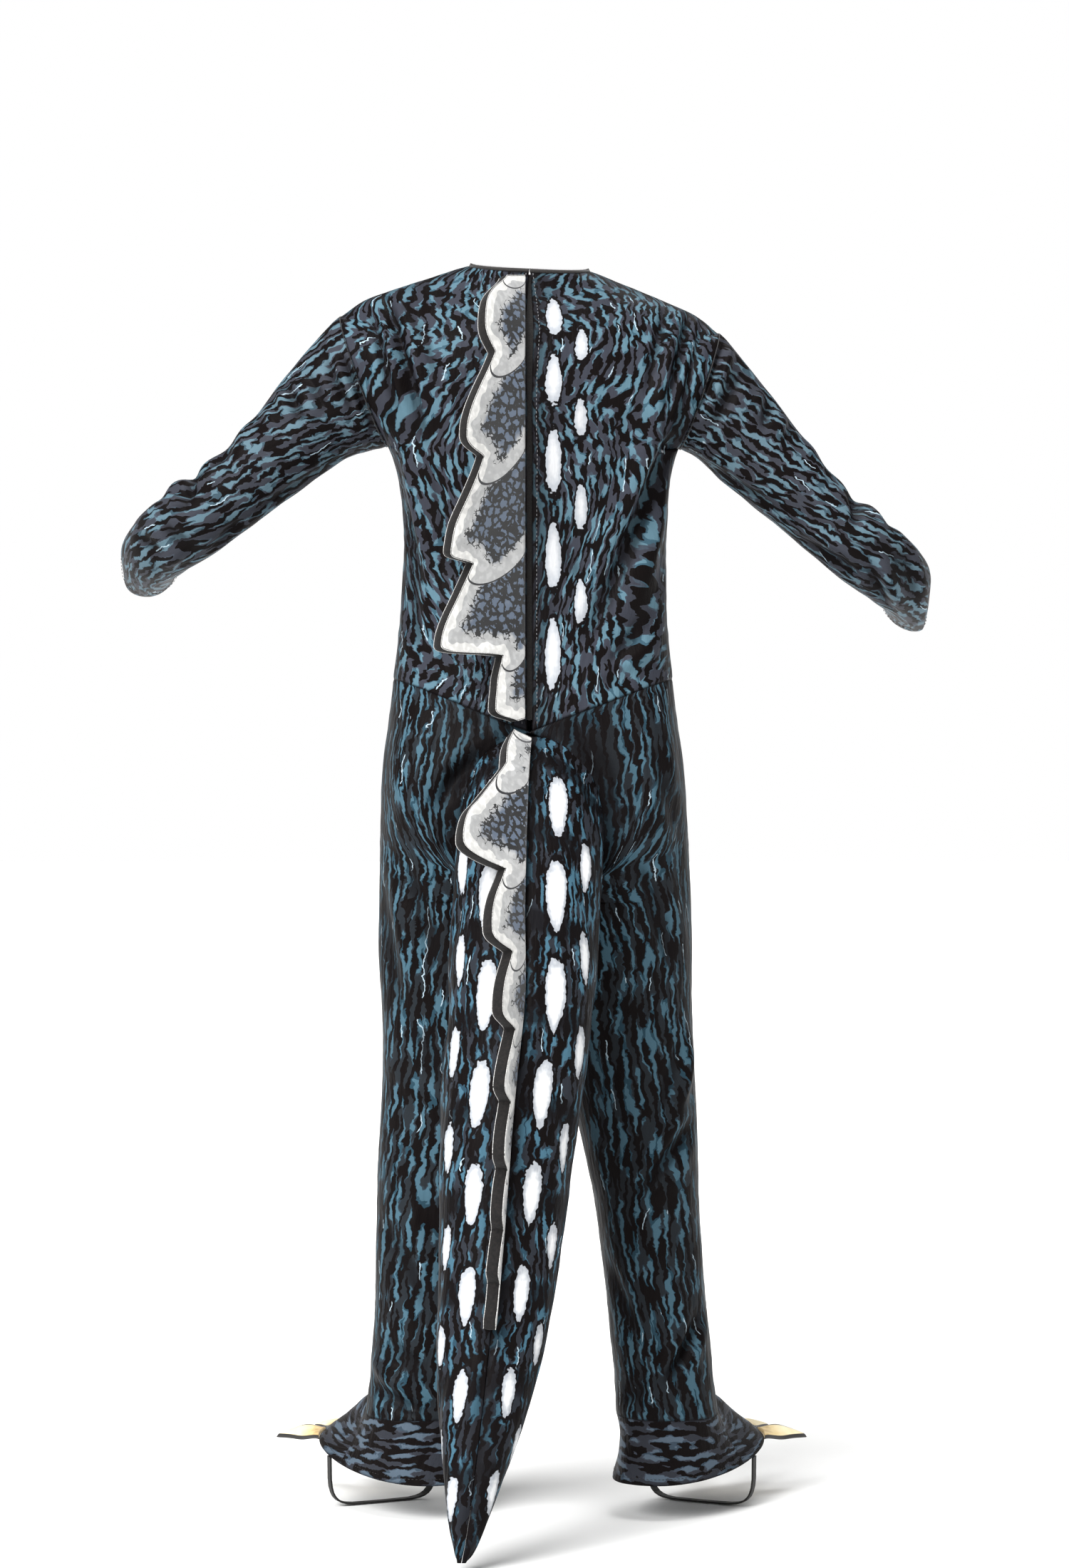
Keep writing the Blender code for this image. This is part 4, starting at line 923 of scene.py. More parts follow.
def printed_knit(name, tones, width, length, cover=0.5, bend=0.05, flicks=True,
                 oval_tone="#BCBDBF"):
    """Polyester jersey, sublimation printed: a satin face over a fine knit.

    Ragged streaks about `width` by `length` in mm, in the blues and greys of `tones`, flow along
    the piece on a near-black ground that shows between them over 1 - `cover` of the cloth, and
    bend by up to `bend` metres.
    """
    cloth = Recipe(name, 0.40, Specular_IOR_Level=0.10, IOR=1.20)
    flat, blend = cloth.flat(), cloth.blend

    def noise(vector, scale, detail=0.0, output="Fac"):
        return cloth.noise(vector, scale, detail, output, noise_dimensions="2D")

    def wander(vector, scale, reach):
        centred = cloth.vector("SUBTRACT", noise(vector, scale, 1.0, "Color"), (0.5, 0.5, 0.5))
        return cloth.vector("ADD", vector, cloth.vector("MULTIPLY", centred, reach))

    def step(value, at, soft=0.006, low=0.0, high=1.0):
        return cloth.span(value, at - soft, at + soft, low, high)

    # the flow turns over about 150 mm, and the outlines are notched every 4 mm or so
    flow = wander(flat, 6.5, (bend, bend * 0.6, 0))
    notched = wander(wander(flow, 95, (0.007, 0.006, 0)), 300, (0.0028, 0.0026, 0))
    # waves spread the streaks evenly over the cloth
    waves = cloth.node("ShaderNodeTexWave", {
        "Vector": notched, "Scale": WAVE_TURN * 1000 / (STREAKS_A_WAVE * min(width, length)),
    }, bands_direction="X" if width < length else "Y").outputs["Fac"]
    even = cloth.calc("MULTIPLY_ADD", waves, 0.22, -0.11)
    stretched = cloth.scaled(notched, (1000 / width, 1000 / length, 1))
    hill = cloth.calc("ADD", noise(stretched, 1.0), even)
    hue = noise(cloth.scaled(notched, (620 / width, 620 / length, 1), (7.3, 2.1, 0)), 1.0)
    low = 0.5 + 0.13 * (0.5 - cover) / 0.5
    first, second, third, bright = tones
    colour = blend(step(hue, 0.47), first, second)
    colour = blend(step(hue, 0.55), colour, third)
    inner = cloth.calc("MULTIPLY", step(hill, low + 0.10), step(hue, 0.50))
    colour = blend(inner, colour, bright)
    colour = blend(step(hill, low), GROUND, colour)
    if flicks:
        # sparse thin pale flicks, lengthways, on lines about 20 mm apart
        shaken = wander(wander(flow, 45, (0.012, 0.0, 0)), 260, (0.0030, 0.0, 0))
        across = cloth.node("ShaderNodeSeparateXYZ", {"Vector": shaken}).outputs["X"]
        share = cloth.calc("FRACT", cloth.calc("MULTIPLY", across, 50.0))
        trail = step(cloth.calc("ABSOLUTE", cloth.calc("SUBTRACT", share, 0.5)), 0.022, 0.006, 1, 0)
        colour = blend(cloth.calc("MULTIPLY", trail, step(noise(flat, 36), 0.695)), colour, "#9FB2BD")
    # painted shade, with the dark seam lines and the tail's printed bands, fades the print to
    # near-black
    colour = blend(cloth.field("shade_and_dark_marks"), colour, SHADE_AND_OVAL_RIM)
    # pale ovals, grey towards a dark rim
    uneven = cloth.calc("MULTIPLY_ADD", noise(flat, 230, 1.0), 0.0026, -0.0013)
    away = cloth.calc("ADD", cloth.field("oval"), uneven)
    colour = blend(step(away, 0.0013, 0.0002, 1.0, 0.0), colour, SHADE_AND_OVAL_RIM)
    centre = blend(step(away, -0.0022, 0.0014), oval_tone, "#9DA1A7")
    colour = blend(step(away, 0.0, 0.0001, 1.0, 0.0), colour, centre)
    # slight drag lines, and the wales of the knit, drawn at 1.1 mm so that they show
    cloth.bump(noise(cloth.scaled(flat, (190, 45, 1)), 1.0, 2.0), 0.0013, 0.6)
    wales = cloth.node("ShaderNodeTexWave", {
        "Vector": flat, "Scale": WAVE_TURN * 1000 / 1.1, "Distortion": 0.6, "Detail": 1.0,
    })
    cloth.bump(wales.outputs["Fac"], 0.00008, 0.4)
    return cloth.finished(colour)


def knit_reverse():
    """The unprinted back of the jersey, pale grey and matt, with black overlock at its seams."""
    cloth = Recipe("jersey reverse", 0.75, Sheen_Weight=0.2)
    flat = cloth.flat()
    tone = cloth.tone(cloth.noise(flat, 75, 2.0), [(0.38, "#747A80"), (0.62, "#999DA0")], "EASE")
    thread = cloth.span(cloth.field("allowance"), 0.25, 0.45)
    wales = cloth.node("ShaderNodeTexWave", {"Vector": flat, "Scale": 150.0, "Distortion": 0.5})
    cloth.bump(wales.outputs["Fac"], 0.0001, 0.6)
    return cloth.finished(cloth.blend(thread, tone, "#141315"))


def crest_print():
    """Printed jersey bonded to foam: pale, with a slate root crossed by fine dark crackle."""
    cloth = Recipe("crest print", 0.48, Sheen_Weight=0.2)
    at, rim = cloth.at(), cloth.field("rim")
    ragged = cloth.calc("MULTIPLY_ADD", cloth.noise(at, 95.0, 2.5), 0.9, -0.45)
    depth = cloth.calc("ADD", cloth.field("deep"), ragged)
    slate = cloth.span(depth, 0.42, 0.95, interpolation_type="SMOOTHSTEP")
    greys = [(0.0, "#B9B9B8"), (0.50, "#CCCBC8"), (0.60, "#DBDAD7")]
    colour = cloth.blend(slate, cloth.tone(cloth.noise(at, 210.0, 1.0), greys), "#67768A")
    shift = {0: cloth.noise(at, 300.0, 1.0, "Color"), "Scale": 0.005}
    bent = cloth.node("ShaderNodeVectorMath", shift, operation="SCALE").outputs[0]
    cracks = cloth.node("ShaderNodeTexVoronoi", {
        "Vector": cloth.vector("ADD", at, bent), "Scale": 135.0,
    }, feature="DISTANCE_TO_EDGE").outputs["Distance"]
    crack = cloth.calc("LESS_THAN", cracks, cloth.span(depth, 0.25, 0.9, 0.0, 0.15))
    colour = cloth.blend(crack, colour, "#0E0E11")
    # the pale border turns grey inside, and a dark line marks where each plate overlaps the next
    waver = cloth.calc("MULTIPLY_ADD", cloth.noise(at, 75.0, 1.0), 0.016, -0.0015)
    greyed = cloth.span(cloth.calc("SUBTRACT", rim, waver), 0.0, 0.0003, 0.0, 0.55)
    colour = cloth.blend(greyed, colour, "#8F939B", blend_type="MULTIPLY")
    closest = cloth.calc("MINIMUM", cloth.calc("ABSOLUTE", cloth.field("fold")), rim)
    cloth.bump(cloth.noise(at, 900.0, 2.0), 0.0002, 0.5)
    return cloth.finished(cloth.blend(cloth.calc("LESS_THAN", closest, 0.0007), colour, "#1D1D21"))


def plain_cloth(name, dark, light, grain, depth, roughness, sheen=0.0):
    """A plain cloth of one colour in two close tones, with its grain in mm as relief."""
    cloth = Recipe(name, roughness, Sheen_Weight=sheen, Specular_IOR_Level=0.35)
    noise = cloth.noise(cloth.at(), 1000 / grain, 3.0)
    cloth.bump(noise, depth / 1000, 0.8)
    return cloth.finished(cloth.tone(noise, [(0.35, dark), (0.68, light)]))


def claw_cloth():
    """Cream knit over thin padding, inked brown towards the edges and bound in black."""
    cloth = Recipe("claw cloth", 0.5, Sheen_Weight=0.2)
    at = cloth.at()
    inked = cloth.calc("MULTIPLY_ADD", cloth.noise(at, 130.0, 2.0), 0.6, cloth.field("deep"))
    tone = cloth.tone(inked, [(0.25, "#F0E3BE"), (0.75, "#DCC48C"), (1.0, "#A9854C")])
    edge = cloth.span(cloth.field("rim"), 0.0026, 0.0031, 1.0, 0.0)
    cloth.bump(cloth.noise(at, 800.0, 2.0), 0.0002, 0.5)
    return cloth.finished(cloth.blend(edge, tone, "#1A1715"))


# The blues and greys of each print: two darker tones, a bluer one, and the bright inner patches
BODY_TONES = ("#35373F", "#3B434D", "#37505D", "#526E7B")
SLEEVE_TONES = ("#36383F", "#3C424B", "#384953", "#546A75")
# the leg print's own blues and greys, darkened below the body's as painted shade over the legs
SHADED_LEG_TONES = ("#24282C", "#2A343C", "#283F4B", "#435F6D")
TAIL_TONES = ("#2A2D33", "#2C3740", "#2A414F", "#416273")
COVER_TONES = ("#2E3036", "#393D46", "#36414C", "#4C5864")
MATERIALS = {
    "body print": printed_knit("printed jersey body", BODY_TONES, 4.5, 13.0, 0.61, 0.10),
    "sleeve print": printed_knit("printed jersey sleeve", SLEEVE_TONES, 4.2, 14.0, 0.63, 0.04),
    "leg print": printed_knit("printed jersey leg", SHADED_LEG_TONES, 4.3, 25.0, 0.57, 0.03),
    "tail print": printed_knit("printed jersey tail", TAIL_TONES, 4.2, 20.0, 0.52, 0.03,
                                oval_tone="#DADBDC"),
    "cover print": printed_knit("printed jersey cover", COVER_TONES, 17.0, 7.0, 0.54, 0.02, False),
    "knit reverse": knit_reverse(),
    "crest print": crest_print(),
    "crest side": plain_cloth("black fleece side", "#050404", "#171312", 2.2, 0.5, 0.9, 0.05),
    "crest piping": plain_cloth("pale cut edge", "#8E8D8C", "#DAD9D6", 1.1, 0.1, 0.6),
    "claw": claw_cloth(),
    "tape": plain_cloth("black hook and loop", "#0A0909", "#1E1B1A", 0.9, 0.35, 0.85, 0.2),
    "binding": plain_cloth("black knit binding", "#100E0E", "#25211F", 1.2, 0.25, 0.7, 0.2),
    "elastic": plain_cloth("black elastic", "#0B0A0A", "#1C1A19", 1.0, 0.2, 0.6),
    "thread": plain_cloth("black polyester thread", "#141212", "#2E2A28", 0.7, 0.05, 0.45),
    "grey thread": plain_cloth("grey polyester thread", "#6A6A6C", "#8E8E90", 0.7, 0.05, 0.5),
}
# Where each print starts on the roll, in metres, and how much further on the front panels start
OFFSETS = {"left": (0.31, 0.17), "right": (1.27, 0.88)}
FRONT_OFFSET = (0.53, 0.22)


def build_bodice():
    rows = np.concatenate([spread(90, 0.3), 1 + spread(44, 0.3)[1:], 2 + spread(44, 0.3)[1:]])
    edge = 1 - SEAM / 2 / 0.14
    for name, side in SIDES.items():
        for part, face, inner, creases, columns in (
            ("back", BACK, OPENING_HALF / HALF_BACK, BACK_CREASES, 92),
            ("front", FRONT, FRONT_SEAM, FRONT_CREASES, 52),
        ):
            us = inner + (edge - inner) * spread(columns, 0.3)
            points = posed(bodice(side * us[None, :], rows[:, None], face))
            outward = side * (1 if face == BACK else -1)
            across = running_length(points, 1)
            # on the left the crest covers all but the lowest ovals
            ovals = [oval for oval in BACK_OVALS if side == RIGHT or oval.along < 100]
            # painted shade on both back panels near the opening, beside and under the crest
            shade_and_dark_marks = 0.72 * bell(across, 0.017) if part == "back" else 0.0
            add_cloth(
                f"bodice_{part}_{name}", points, outward, creases, 4, MATERIALS["body print"],
                ovals=ovals if part == "back" else (), shade_and_dark_marks=shade_and_dark_marks,
            )


CUFF_END = {"left": 0.343, "right": 0.333}  # how far out the cuff's upright cut edge stands
CUFF_ROUND = 0.003
ARMHOLE_DRAW = 0.0009       # how far the thinner wall that shows is drawn in to the armhole seam
UNDERARM_DRAW = 0.0010      # how much further it is drawn in under the arm


def upright_cuff(points, name):
    """The sleeve's grid with its far end cut off upright."""
    side, end = SIDES[name], CUFF_END[name]
    short = (end - points[..., 0] * side) / CUFF_ROUND
    points[..., 0] = side * (end - CUFF_ROUND * np.logaddexp(0, short))
    return points


def build_sleeves():
    around, along = np.arange(88) / 88, spread(128, 0.4)
    for name, side in SIDES.items():
        points = posed(sleeve(around[None, :], along[:, None], side))
        under = (1 + np.cos(2 * np.pi * around)) / 2
        points[0, :, 0] -= side * (ARMHOLE_DRAW + UNDERARM_DRAW * under)
        add_cloth(
            f"sleeve_{name}", upright_cuff(points, name), -side, SLEEVE_CREASES[name], 9,
            MATERIALS["sleeve print"],
            closed=True, tuck=0,
        )


def build_trousers():
    rows = np.concatenate([spread(150, 0.3), 1 + spread(76, 0.3)[1:]])
    for name, side in SIDES.items():
        for part, face in (("back", BACK), ("front", FRONT)):
            us = spread(58)
            points = posed(trouser(us[None, :], rows[:, None], face, side), name)
            # painted shade: darker towards each leg's inner edge, fading out towards the hem, and a
            # little darker all over the right leg
            inner = ease((us[None, :] - 0.45) / 0.5) * ease(rows[:, None] / 0.5)
            add_cloth(
                f"leg_{part}_{name}", points, face * side, LEG_CREASES[name], 14,
                MATERIALS["leg print"],
                middle=28, shade_and_dark_marks=0.62 * inner + (0.16 if name == "right" else 0.0), tuck=0.0009,
            )


def build_covers():
    around, along = np.arange(132) / 132, spread(34, 0.5)
    for name, side in SIDES.items():
        points = posed(cover(around[None, :], along[:, None], side), name)
        add_cloth(
            f"foot_cover_{name}", points, side, (), 21, MATERIALS["cover print"],
            closed=True,
        )


def build_tail():
    """Two stuffed halves: a valley along their seams, puckers beside it, and soft lumps."""
    turns, rows = spread(64, 0.5), np.linspace(0, 1, 260)
    for name, side in SIDES.items():
        points = posed(tail(turns[None, :], rows[:, None], side))
        normals = grid_normals(points) * -side
        across, along = running_length(points, 1), running_length(points, 0)
        from_seam = np.minimum(across, across[:, -1:] - across)
        lift = 0.0016 * soft_noise(across / 0.030, along / 0.045, 31 + side)
        lift = lift + 0.0007 * soft_noise(across / 0.011, along / 0.020, 35 + side)
        seam_line = soft_noise(along / 0.011, np.zeros_like(along), 38)
        lift = lift * ease(from_seam / 0.010)
        lift = lift + 0.0007 * seam_line * bell(from_seam, 0.009) * ease(from_seam / 0.002)
        lift = lift - 0.0015 * bell(from_seam, 0.0035)
        lift = lift * ease(rows[:, None] / 0.03) * ease((1 - rows[:, None]) / 0.03)
        shown = points + normals * lift[..., None]
        v = np.broadcast_to(along[:, 20:21], along.shape)
        start = OFFSETS[name]
        # dark bands printed across the tail
        band = np.cos(2 * np.pi * (v - 0.035) / 0.070 + 0.8 * soft_noise(across / 0.02, v, 40))
        shade_and_dark_marks = 0.85 * ease((band - 0.45) / 0.4)
        # painted shade beside the crest line, deeper on the right half
        shade_and_dark_marks = np.maximum(shade_and_dark_marks, (0.8 if side == RIGHT else 0.5) * bell(across, 0.012))
        count, columns = len(rows), len(turns)
        faces = grid_faces(count, columns, flip=side == RIGHT).tolist()
        closing = [
            (low + columns - 1, low, low + columns, low + 2 * columns - 1)
            for low in range(0, (count - 1) * columns, columns)
        ]
        ends = [tuple(range(columns))[::-1], tuple(range((count - 1) * columns, count * columns))]
        if side == RIGHT:
            closing, ends = [f[::-1] for f in closing], [f[::-1] for f in ends]
        thing = add_piece(
            f"tail_{name}_stuffed", shown, faces + closing + ends, (MATERIALS["tail print"],),
            "printed_knit", (f"tail_{name}",), np.stack([across + start[0], v + start[1]], -1),
            fields={"oval": oval_distance(across, v, TAIL_OVALS), "shade_and_dark_marks": shade_and_dark_marks},
        )


def tube_mesh(route, radius, sides):
    """Points and faces of a round tube along a route, closed at both ends."""
    along = unit(np.gradient(route, axis=0))
    across = unit(np.cross(along, np.array((0.0, 0.0, 1.0)) + 0.01))
    over = np.cross(across, along)
    angle = 2 * np.pi * np.arange(sides) / sides
    ring = across[:, None] * np.cos(angle)[:, None] + over[:, None] * np.sin(angle)[:, None]
    points = route[:, None] + ring * radius
    count = len(route)
    faces = grid_faces(count, sides, closed=True, flip=True).tolist()
    faces.append(tuple(range(sides)))
    faces.append(tuple((count - 1) * sides + k for k in range(sides))[::-1])
    return points, faces


FOAM = 0.0098           # as thick as the foam looks at its cut edge


def build_crests():
    """Foam plates: two printed faces, a dark side band between them and a pale cut edge."""
    for name, line, plates, rows_each in (
        ("crest_back", back_line, BACK_PLATES, 54),
        ("crest_tail", tail_line, TAIL_PLATES, 30),
    ):
        columns = np.linspace(0, 1, 26)
        middle, normal, reach = crest_middle(line, plates, rows_each, columns)
        middle = posed(middle)
        count, wide = middle.shape[:2]
        outline = np.concatenate([middle[0], middle[1:-1, -1], middle[-1, ::-1]])
        rim = np.full(middle.shape[:2], 1.0)
        for start in range(0, len(outline), 40):
            part = outline[start : start + 40]
            rim = np.minimum(rim, np.linalg.norm(middle[:, :, None] - part, axis=-1).min(axis=2))
        # each plate is drawn as if it overlapped the next one in a rounded lobe
        tall = np.array([[p.upper - p.lower] for p in plates for _ in range(rows_each)] + [[0.03]])
        order = np.arange(count)[:, None] / rows_each - 0.10 - 0.16 * np.sin(np.pi * columns) ** 0.7
        fold = np.sin(np.pi * order) * tall / np.pi
        above = (1 - order % 1) * tall
        deep = ease((np.minimum(rim, above) - 0.006) / 0.018)
        half = FOAM / 2 - 0.0003 * np.exp(-rim / 0.0012)
        wave = 0.0010 * soft_noise(reach / 0.03, np.arange(count)[:, None] / 11, 51)
        wave = wave * ease(reach / 0.015)
        wave = wave + (FOAM - CREST_THICKNESS) / 2
        faces_at = [middle + normal * (wave + sign * half)[..., None] for sign in (1, -1)]
        grid = grid_faces(count, wide)
        border = grid_border(count, wide)
        points = np.concatenate([side.reshape(-1, 3) for side in faces_at])
        total = count * wide
        faces = grid.tolist() + (grid[:, ::-1] + total).tolist()
        centre = middle.reshape(-1, 3)[border]
        outwards = unit(centre - middle.reshape(-1, 3)[inward_of(border, count, wide)])
        strips = [border]
        for share in (0.25, 0.5, 0.75):
            mid = mix(points[border], points[border + total], share)
            strips.append(np.arange(len(points), len(points) + len(border)))
            points = np.concatenate([points, mid + outwards * 0.0007 * math.sin(math.pi * share)])
        strips.append(border + total)
        for upper, lower in zip(strips, strips[1:]):
            faces += band_faces(upper, lower).tolist()
        beside = np.zeros(len(points) - 2 * total)
        fields = {"rim": rim, "deep": deep, "fold": fold}
        thing = add_piece(
            f"{name}_foam", points, faces, (MATERIALS["crest print"], MATERIALS["crest side"]),
            "crest_foam", (name,), fields={
                field: np.concatenate([values.ravel(), values.ravel(), beside])
                for field, values in fields.items()
            },
        )
        which = np.zeros(len(faces), int)
        which[2 * len(grid) :] = 1
        thing.data.polygons.foreach_set("material_index", which)
        thing.data.update()
        shown = border[: wide + count - 1 + wide - 1]
        for number, at in enumerate(faces_at):
            route = at.reshape(-1, 3)[shown]
            tube, tube_faces = tube_mesh(route, 0.0003, 5)
            add_piece(f"{name}_cut_edge_{number}", tube, tube_faces, (MATERIALS["crest piping"],),
                      "crest_foam")


def inward_of(border, count, wide):
    """For each point of a grid's border, the point next to it inside the grid."""
    return np.clip(border // wide, 1, count - 2) * wide + np.clip(border % wide, 1, wide - 2)


CLAW_TWIST = math.radians(42)   # how far a claw that points sideways turns its face to the back


def twist(rows, angle):
    """Turns each row of a grid about the line from the grid's first row to its last."""
    first, last = rows[0].mean(axis=0), rows[-1].mean(axis=0)
    axis = unit(last - first)
    angle = (angle * axis[0])[:, None, None]
    arm = rows - first
    along = (arm @ axis)[..., None] * axis
    out = arm - along
    return first + along + out * np.cos(angle) + np.cross(axis, out) * np.sin(angle)


def build_claws():
    """Flat padded claws: two curved faces that meet in a bound edge."""
    us, vs = np.linspace(-1, 1, 21), spread(34, 0.4)
    for name, side in SIDES.items():
        for number, degrees in enumerate(CLAW_ANGLES, 1):
            middle = posed(claw(us[None, :], vs[:, None], side, degrees), name)
            middle = twist(middle, CLAW_TWIST * ease(vs / 0.5))
            across = running_length(middle, 1)
            width = across[:, -1:]
            rim = np.minimum(np.minimum(across, width - across), 1.0)
            rim = np.minimum(rim, CLAW_LENGTH * (1 - vs)[:, None])
            half = 0.0024 * np.sqrt(ease(rim / 0.006)) + 0.00025
            up = grid_normals(middle)
            up = up * np.sign(up[..., 2:3])
            top, bottom = middle + up * half[..., None], middle - up * half[..., None]
            count, wide = middle.shape[:2]
            total = count * wide
            grid = grid_faces(count, wide, flip=side == LEFT)
            border = grid_border(count, wide)
            sides = band_faces(border, border + total)
            if side == LEFT:
                sides = sides[:, ::-1]
            root = ease(1 - np.broadcast_to(vs[:, None], rim.shape) * 1.6) * 0.6
            thing = add_piece(
                f"claw_{name}_{number}_padded",
                np.concatenate([top.reshape(-1, 3), bottom.reshape(-1, 3)]),
                grid.tolist() + (grid[:, ::-1] + total).tolist() + sides.tolist(),
                (MATERIALS["claw"],), "claw_fabric", (f"claw_{name}_{number}",),
                fields={"rim": np.tile(rim.ravel(), 2), "deep": np.tile(root.ravel(), 2)},
            )


def build_binding():
    beyond = BINDING_RADIUS - 0.0006

    def along(us, face):
        us = np.asarray(us)
        line = bodice(us, np.full(us.shape, 3.0), face)
        return line + unit(line - bodice(us, np.full(us.shape, 2.95), face)) * beyond

    back = along(np.linspace(0.006, 0.97, 70), BACK)
    front = along(np.linspace(0.90, -0.90, 120), FRONT)
    route = posed(np.concatenate([back, front, back[::-1] * (-1, 1, 1)]))
    tube, faces = tube_mesh(route, BINDING_RADIUS, 12)
    add_piece("neck_binding_cord", tube, faces, (MATERIALS["binding"],), "black_trim",
              ("neck_binding",))
    outward = unit(route * (1, 1, 0) + (0, 0, 0.02))
    sew("neck_overlock", route + outward * (BINDING_RADIUS * 0.7), outward, 1.5, 4.4, 0.34, 72,
        "thread", "black_trim")


def stitch_tree():
    """Geometry Nodes that lay stitches along a line of edges."""
    tree = bpy.data.node_groups.new("stitches along a line", "GeometryNodeTree")
    face = tree.interface
    face.new_socket("Line", in_out="INPUT", socket_type="NodeSocketGeometry")
    for name in ("Spacing", "Stitch Length", "Thread Radius", "Turn"):
        face.new_socket(name, in_out="INPUT", socket_type="NodeSocketFloat")
    face.new_socket("Seed", in_out="INPUT", socket_type="NodeSocketInt")
    face.new_socket("Thread", in_out="INPUT", socket_type="NodeSocketMaterial")
    face.new_socket("Stitches", in_out="OUTPUT", socket_type="NodeSocketGeometry")
    node = functools.partial(add_node, tree)
    given = node("NodeGroupInput").outputs
    curve = node("GeometryNodeMeshToCurve", {"Mesh": given["Line"]})
    evenly = node("GeometryNodeResampleCurve", {"Curve": curve.outputs[0],
                                                "Length": given["Spacing"]}, mode="LENGTH")
    points = node("GeometryNodeCurveToPoints", {"Curve": evenly.outputs[0]}, mode="EVALUATED")
    outward = node("GeometryNodeInputNamedAttribute", {"Name": "outward"},
                   data_type="FLOAT_VECTOR")
    standing = node("FunctionNodeAlignRotationToVector", {"Vector": outward.outputs[0]}, axis="Z")
    facing = node("FunctionNodeAlignRotationToVector",
                  {"Rotation": standing.outputs[0], "Vector": points.outputs["Tangent"]},
                  axis="X", pivot_axis="Z")
    jitter = node("FunctionNodeRandomValue", {2: -0.10, 3: 0.10, "Seed": given["Seed"]},
                  data_type="FLOAT")
    turn = node("ShaderNodeMath", {0: given["Turn"], 1: jitter.outputs[1]}, operation="ADD")
    angles = node("ShaderNodeCombineXYZ", {"Z": turn.outputs[0]})
    turned = node("FunctionNodeRotateRotation",
                  {"Rotation": facing.outputs[0], "Rotate By": angles.outputs[0]},
                  rotation_space="LOCAL")
    half = node("ShaderNodeMath", {0: given["Stitch Length"], 1: 0.5}, operation="MULTIPLY")
    size = node("ShaderNodeCombineXYZ", {"X": half.outputs[0], "Y": given["Thread Radius"],
                                         "Z": given["Thread Radius"]})
    bead = node("GeometryNodeMeshUVSphere", {"Segments": 6, "Rings": 5, "Radius": 1.0})
    placed = node("GeometryNodeInstanceOnPoints", {
        "Points": points.outputs[0], "Instance": bead.outputs[0], "Rotation": turned.outputs[0],
        "Scale": size.outputs[0],
    })
    real = node("GeometryNodeRealizeInstances", {0: placed.outputs[0]})
    done = node("GeometryNodeSetMaterial", {0: real.outputs[0], "Material": given["Thread"]})
    node("NodeGroupOutput", {0: done.outputs[0]})
    return tree


def sew(name, line, outward, spacing, length, radius, turn, thread, slot_name):
    """A run of stitches along a line, sizes in mm and the turn across the line in degrees."""
    mesh = bpy.data.meshes.new(name + " line")
    mesh.from_pydata(line.tolist(), [(k, k + 1) for k in range(len(line) - 1)], [])
    attribute = mesh.attributes.new("outward", "FLOAT_VECTOR", "POINT")
    attribute.data.foreach_set("vector", np.ascontiguousarray(outward, np.float32).ravel())
    guide = add_object(name + " line", mesh)
    modifier = guide.modifiers.new("stitches", "NODES")
    modifier.node_group = STITCHES
    values = {"Spacing": spacing / 1000, "Stitch Length": length / 1000,
              "Thread Radius": radius / 1000, "Turn": math.radians(turn), "Seed": 7,
              "Thread": MATERIALS[thread]}
    for item in STITCHES.interface.items_tree:
        if item.in_out == "INPUT" and item.name in values:
            modifier[item.identifier] = values[item.name]
    made = guide.evaluated_get(bpy.context.evaluated_depsgraph_get())
    stitched = bpy.data.meshes.new_from_object(made)
    stitched.name = name
    stitched.shade_smooth()
    bpy.data.objects.remove(guide)
    return add_object(name, stitched, slot_name)


def on_surface(points, outward, column=None, row=None, lift=0.0008):
    """A row or column of a grid, lifted off it, and its outward directions."""
    normals = grid_normals(points) * outward
    pick = (slice(None), column) if column is not None else (row, slice(None))
    return points[pick] + normals[pick] * lift, normals[pick]


def build_stitching():
    """Topstitching where it shows: beside the opening, at the cuffs and at the lower hems."""
    rows = np.linspace(0.02, 2.96, 240)[:, None]
    for name, side in SIDES.items():
        across = side * (OPENING_HALF + np.array((0.0022, 0.0032, 0.0042))) / HALF_BACK
        strip = posed(bodice(np.sort(across)[None, :], rows, BACK))
        line, outward = on_surface(strip, 1, column=1)
        sew(f"opening_stitches_{name}", line, outward, 3.4, 2.3, 0.26, 0, "grey thread",
            "black_trim")
        around = (np.arange(120) / 120)[None, :]
        cuff = posed(sleeve(around, np.array((0.950, 0.965, 0.980))[:, None], side))
        cuff = upright_cuff(cuff, name)
        line, outward = on_surface(cuff, -side, row=1)
        sew(f"cuff_stitches_{name}", line, outward, 3.2, 2.2, 0.24, 0, "thread", "black_trim")
        hem = posed(cover(around, np.array((0.86, 0.90, 0.94))[:, None], side), name)
        line, outward = on_surface(hem, side, row=1)
        sew(f"hem_stitches_{name}", line, outward, 3.2, 2.2, 0.24, 0, "thread", "black_trim")


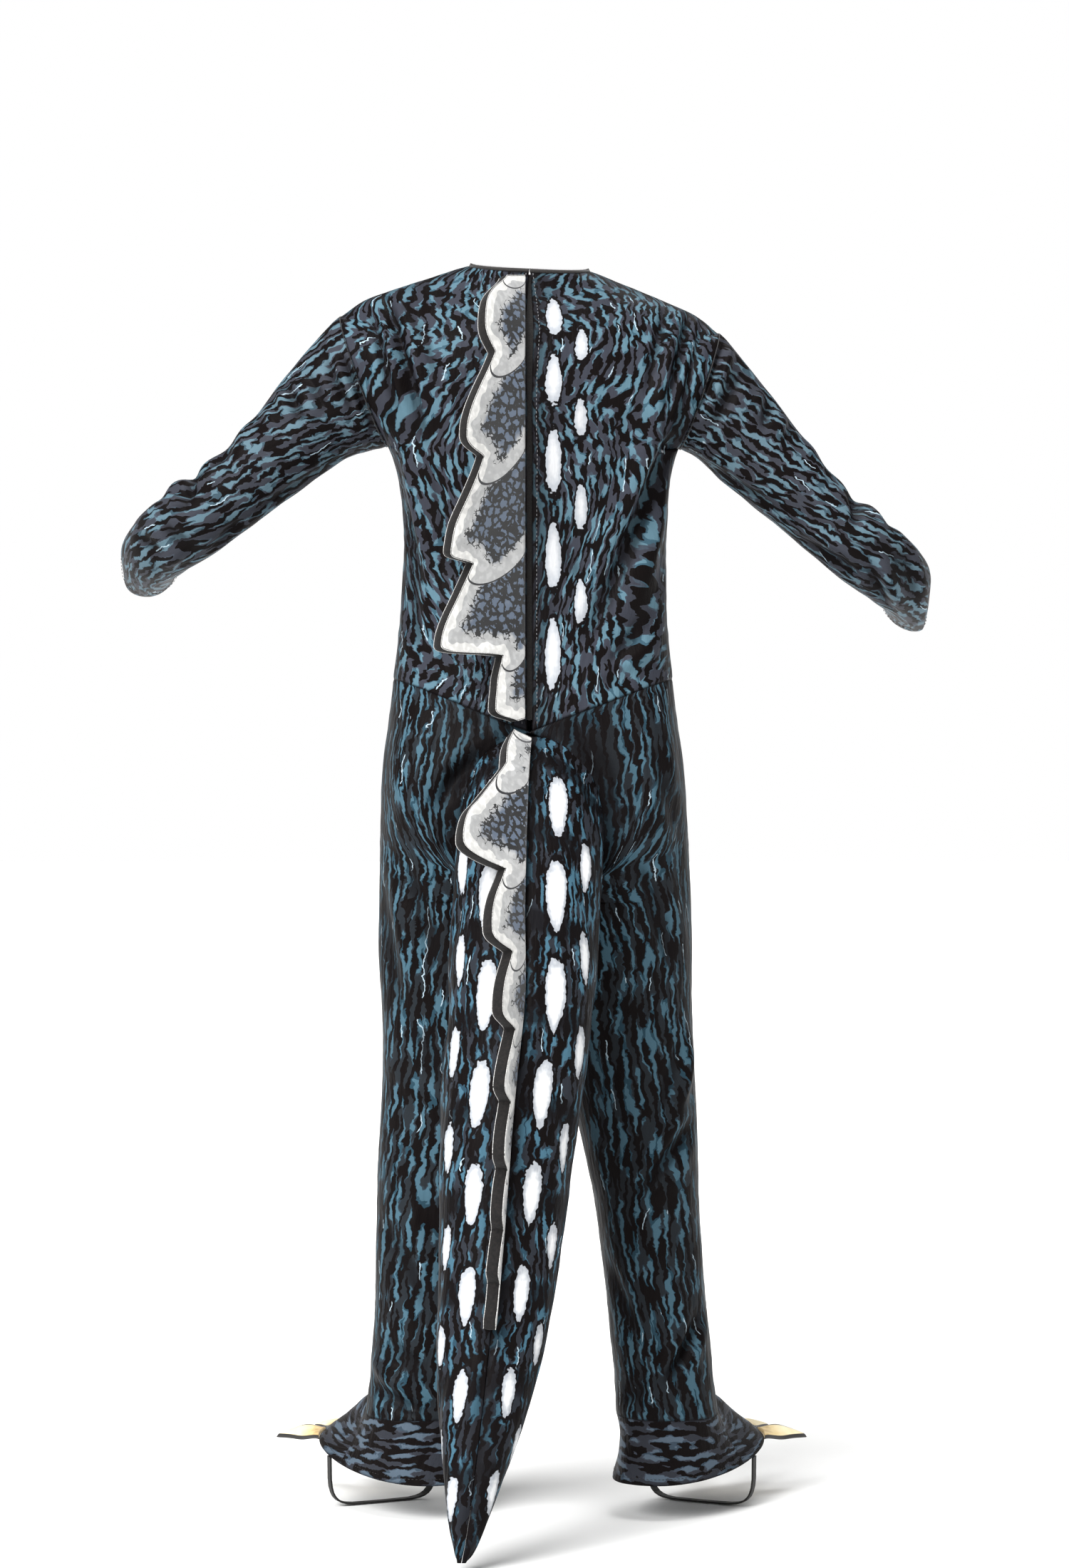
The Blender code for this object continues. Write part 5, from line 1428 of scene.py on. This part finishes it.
def finish_carried_over():
    """The solids that stay as they are get their real finish."""
    for node_name, finish in (
        ("closure_tape", "tape"), ("foot_strap_left", "elastic"), ("foot_strap_right", "elastic"),
    ):
        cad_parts[node_name].data.materials.clear()
        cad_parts[node_name].data.materials.append(MATERIALS[finish])


def build_studio():
    ground = CAD_BOX[0][2] - 0.0005
    mesh = bpy.data.meshes.new("floor")
    mesh.from_pydata([(-30, -30, ground), (30, -30, ground), (30, 30, ground), (-30, 30, ground)],
                     [], [(0, 1, 2, 3)])
    floor = add_object("floor", mesh)
    paper = Recipe("matt white paper", 0.9, Specular_IOR_Level=0.1)
    tone = paper.tone(paper.noise(paper.at(), 6.0, 2.0), [(0.3, "#F2F2F1"), (0.7, "#F7F7F6")])
    mesh.materials.append(paper.finished(tone))
    world = bpy.data.worlds.new("studio")
    bpy.context.scene.world = world
    world.use_nodes = True
    node = functools.partial(add_node, world.node_tree)
    # white round the horizon, where the object is seen against it, and dimmer overhead
    way = node("ShaderNodeSeparateXYZ", {"Vector": node("ShaderNodeTexCoord").outputs["Generated"]})
    sky = node("ShaderNodeMapRange", {"Value": way.outputs["Z"], "From Min": 0.20,
                                      "From Max": 0.36, "To Min": 1.0, "To Max": 0.14})
    background = world.node_tree.nodes["Background"]
    background.inputs["Color"].default_value = (1.0, 1.0, 1.0, 1.0)
    world.node_tree.links.new(sky.outputs[0], background.inputs["Strength"])
    for name, strength, from_above, turn in (
        ("key", 4.6, 54, -33), ("fill", 0.7, 40, 160), ("top", 1.8, 14, 0),
    ):
        sun = bpy.data.lights.new(name, "SUN")
        sun.energy, sun.angle = strength, math.radians(34)
        lamp = add_object(name, sun)
        lamp.rotation_euler = (math.radians(from_above), 0, math.radians(turn))
    bpy.context.scene.view_settings.view_transform = "Standard"
    camera = bpy.data.cameras.new("camera")
    camera.lens, camera.sensor_width = 101.4, 36.0
    eye = add_object("camera", camera)
    eye.location, eye.rotation_euler = (0.004, -3.6, -0.406), (math.pi / 2, 0, 0)
    bpy.context.scene.camera = eye


STITCHES = stitch_tree()
build_bodice()
build_sleeves()
build_trousers()
build_covers()
build_tail()
build_crests()
build_claws()
build_binding()
build_stitching()
finish_carried_over()
build_studio()
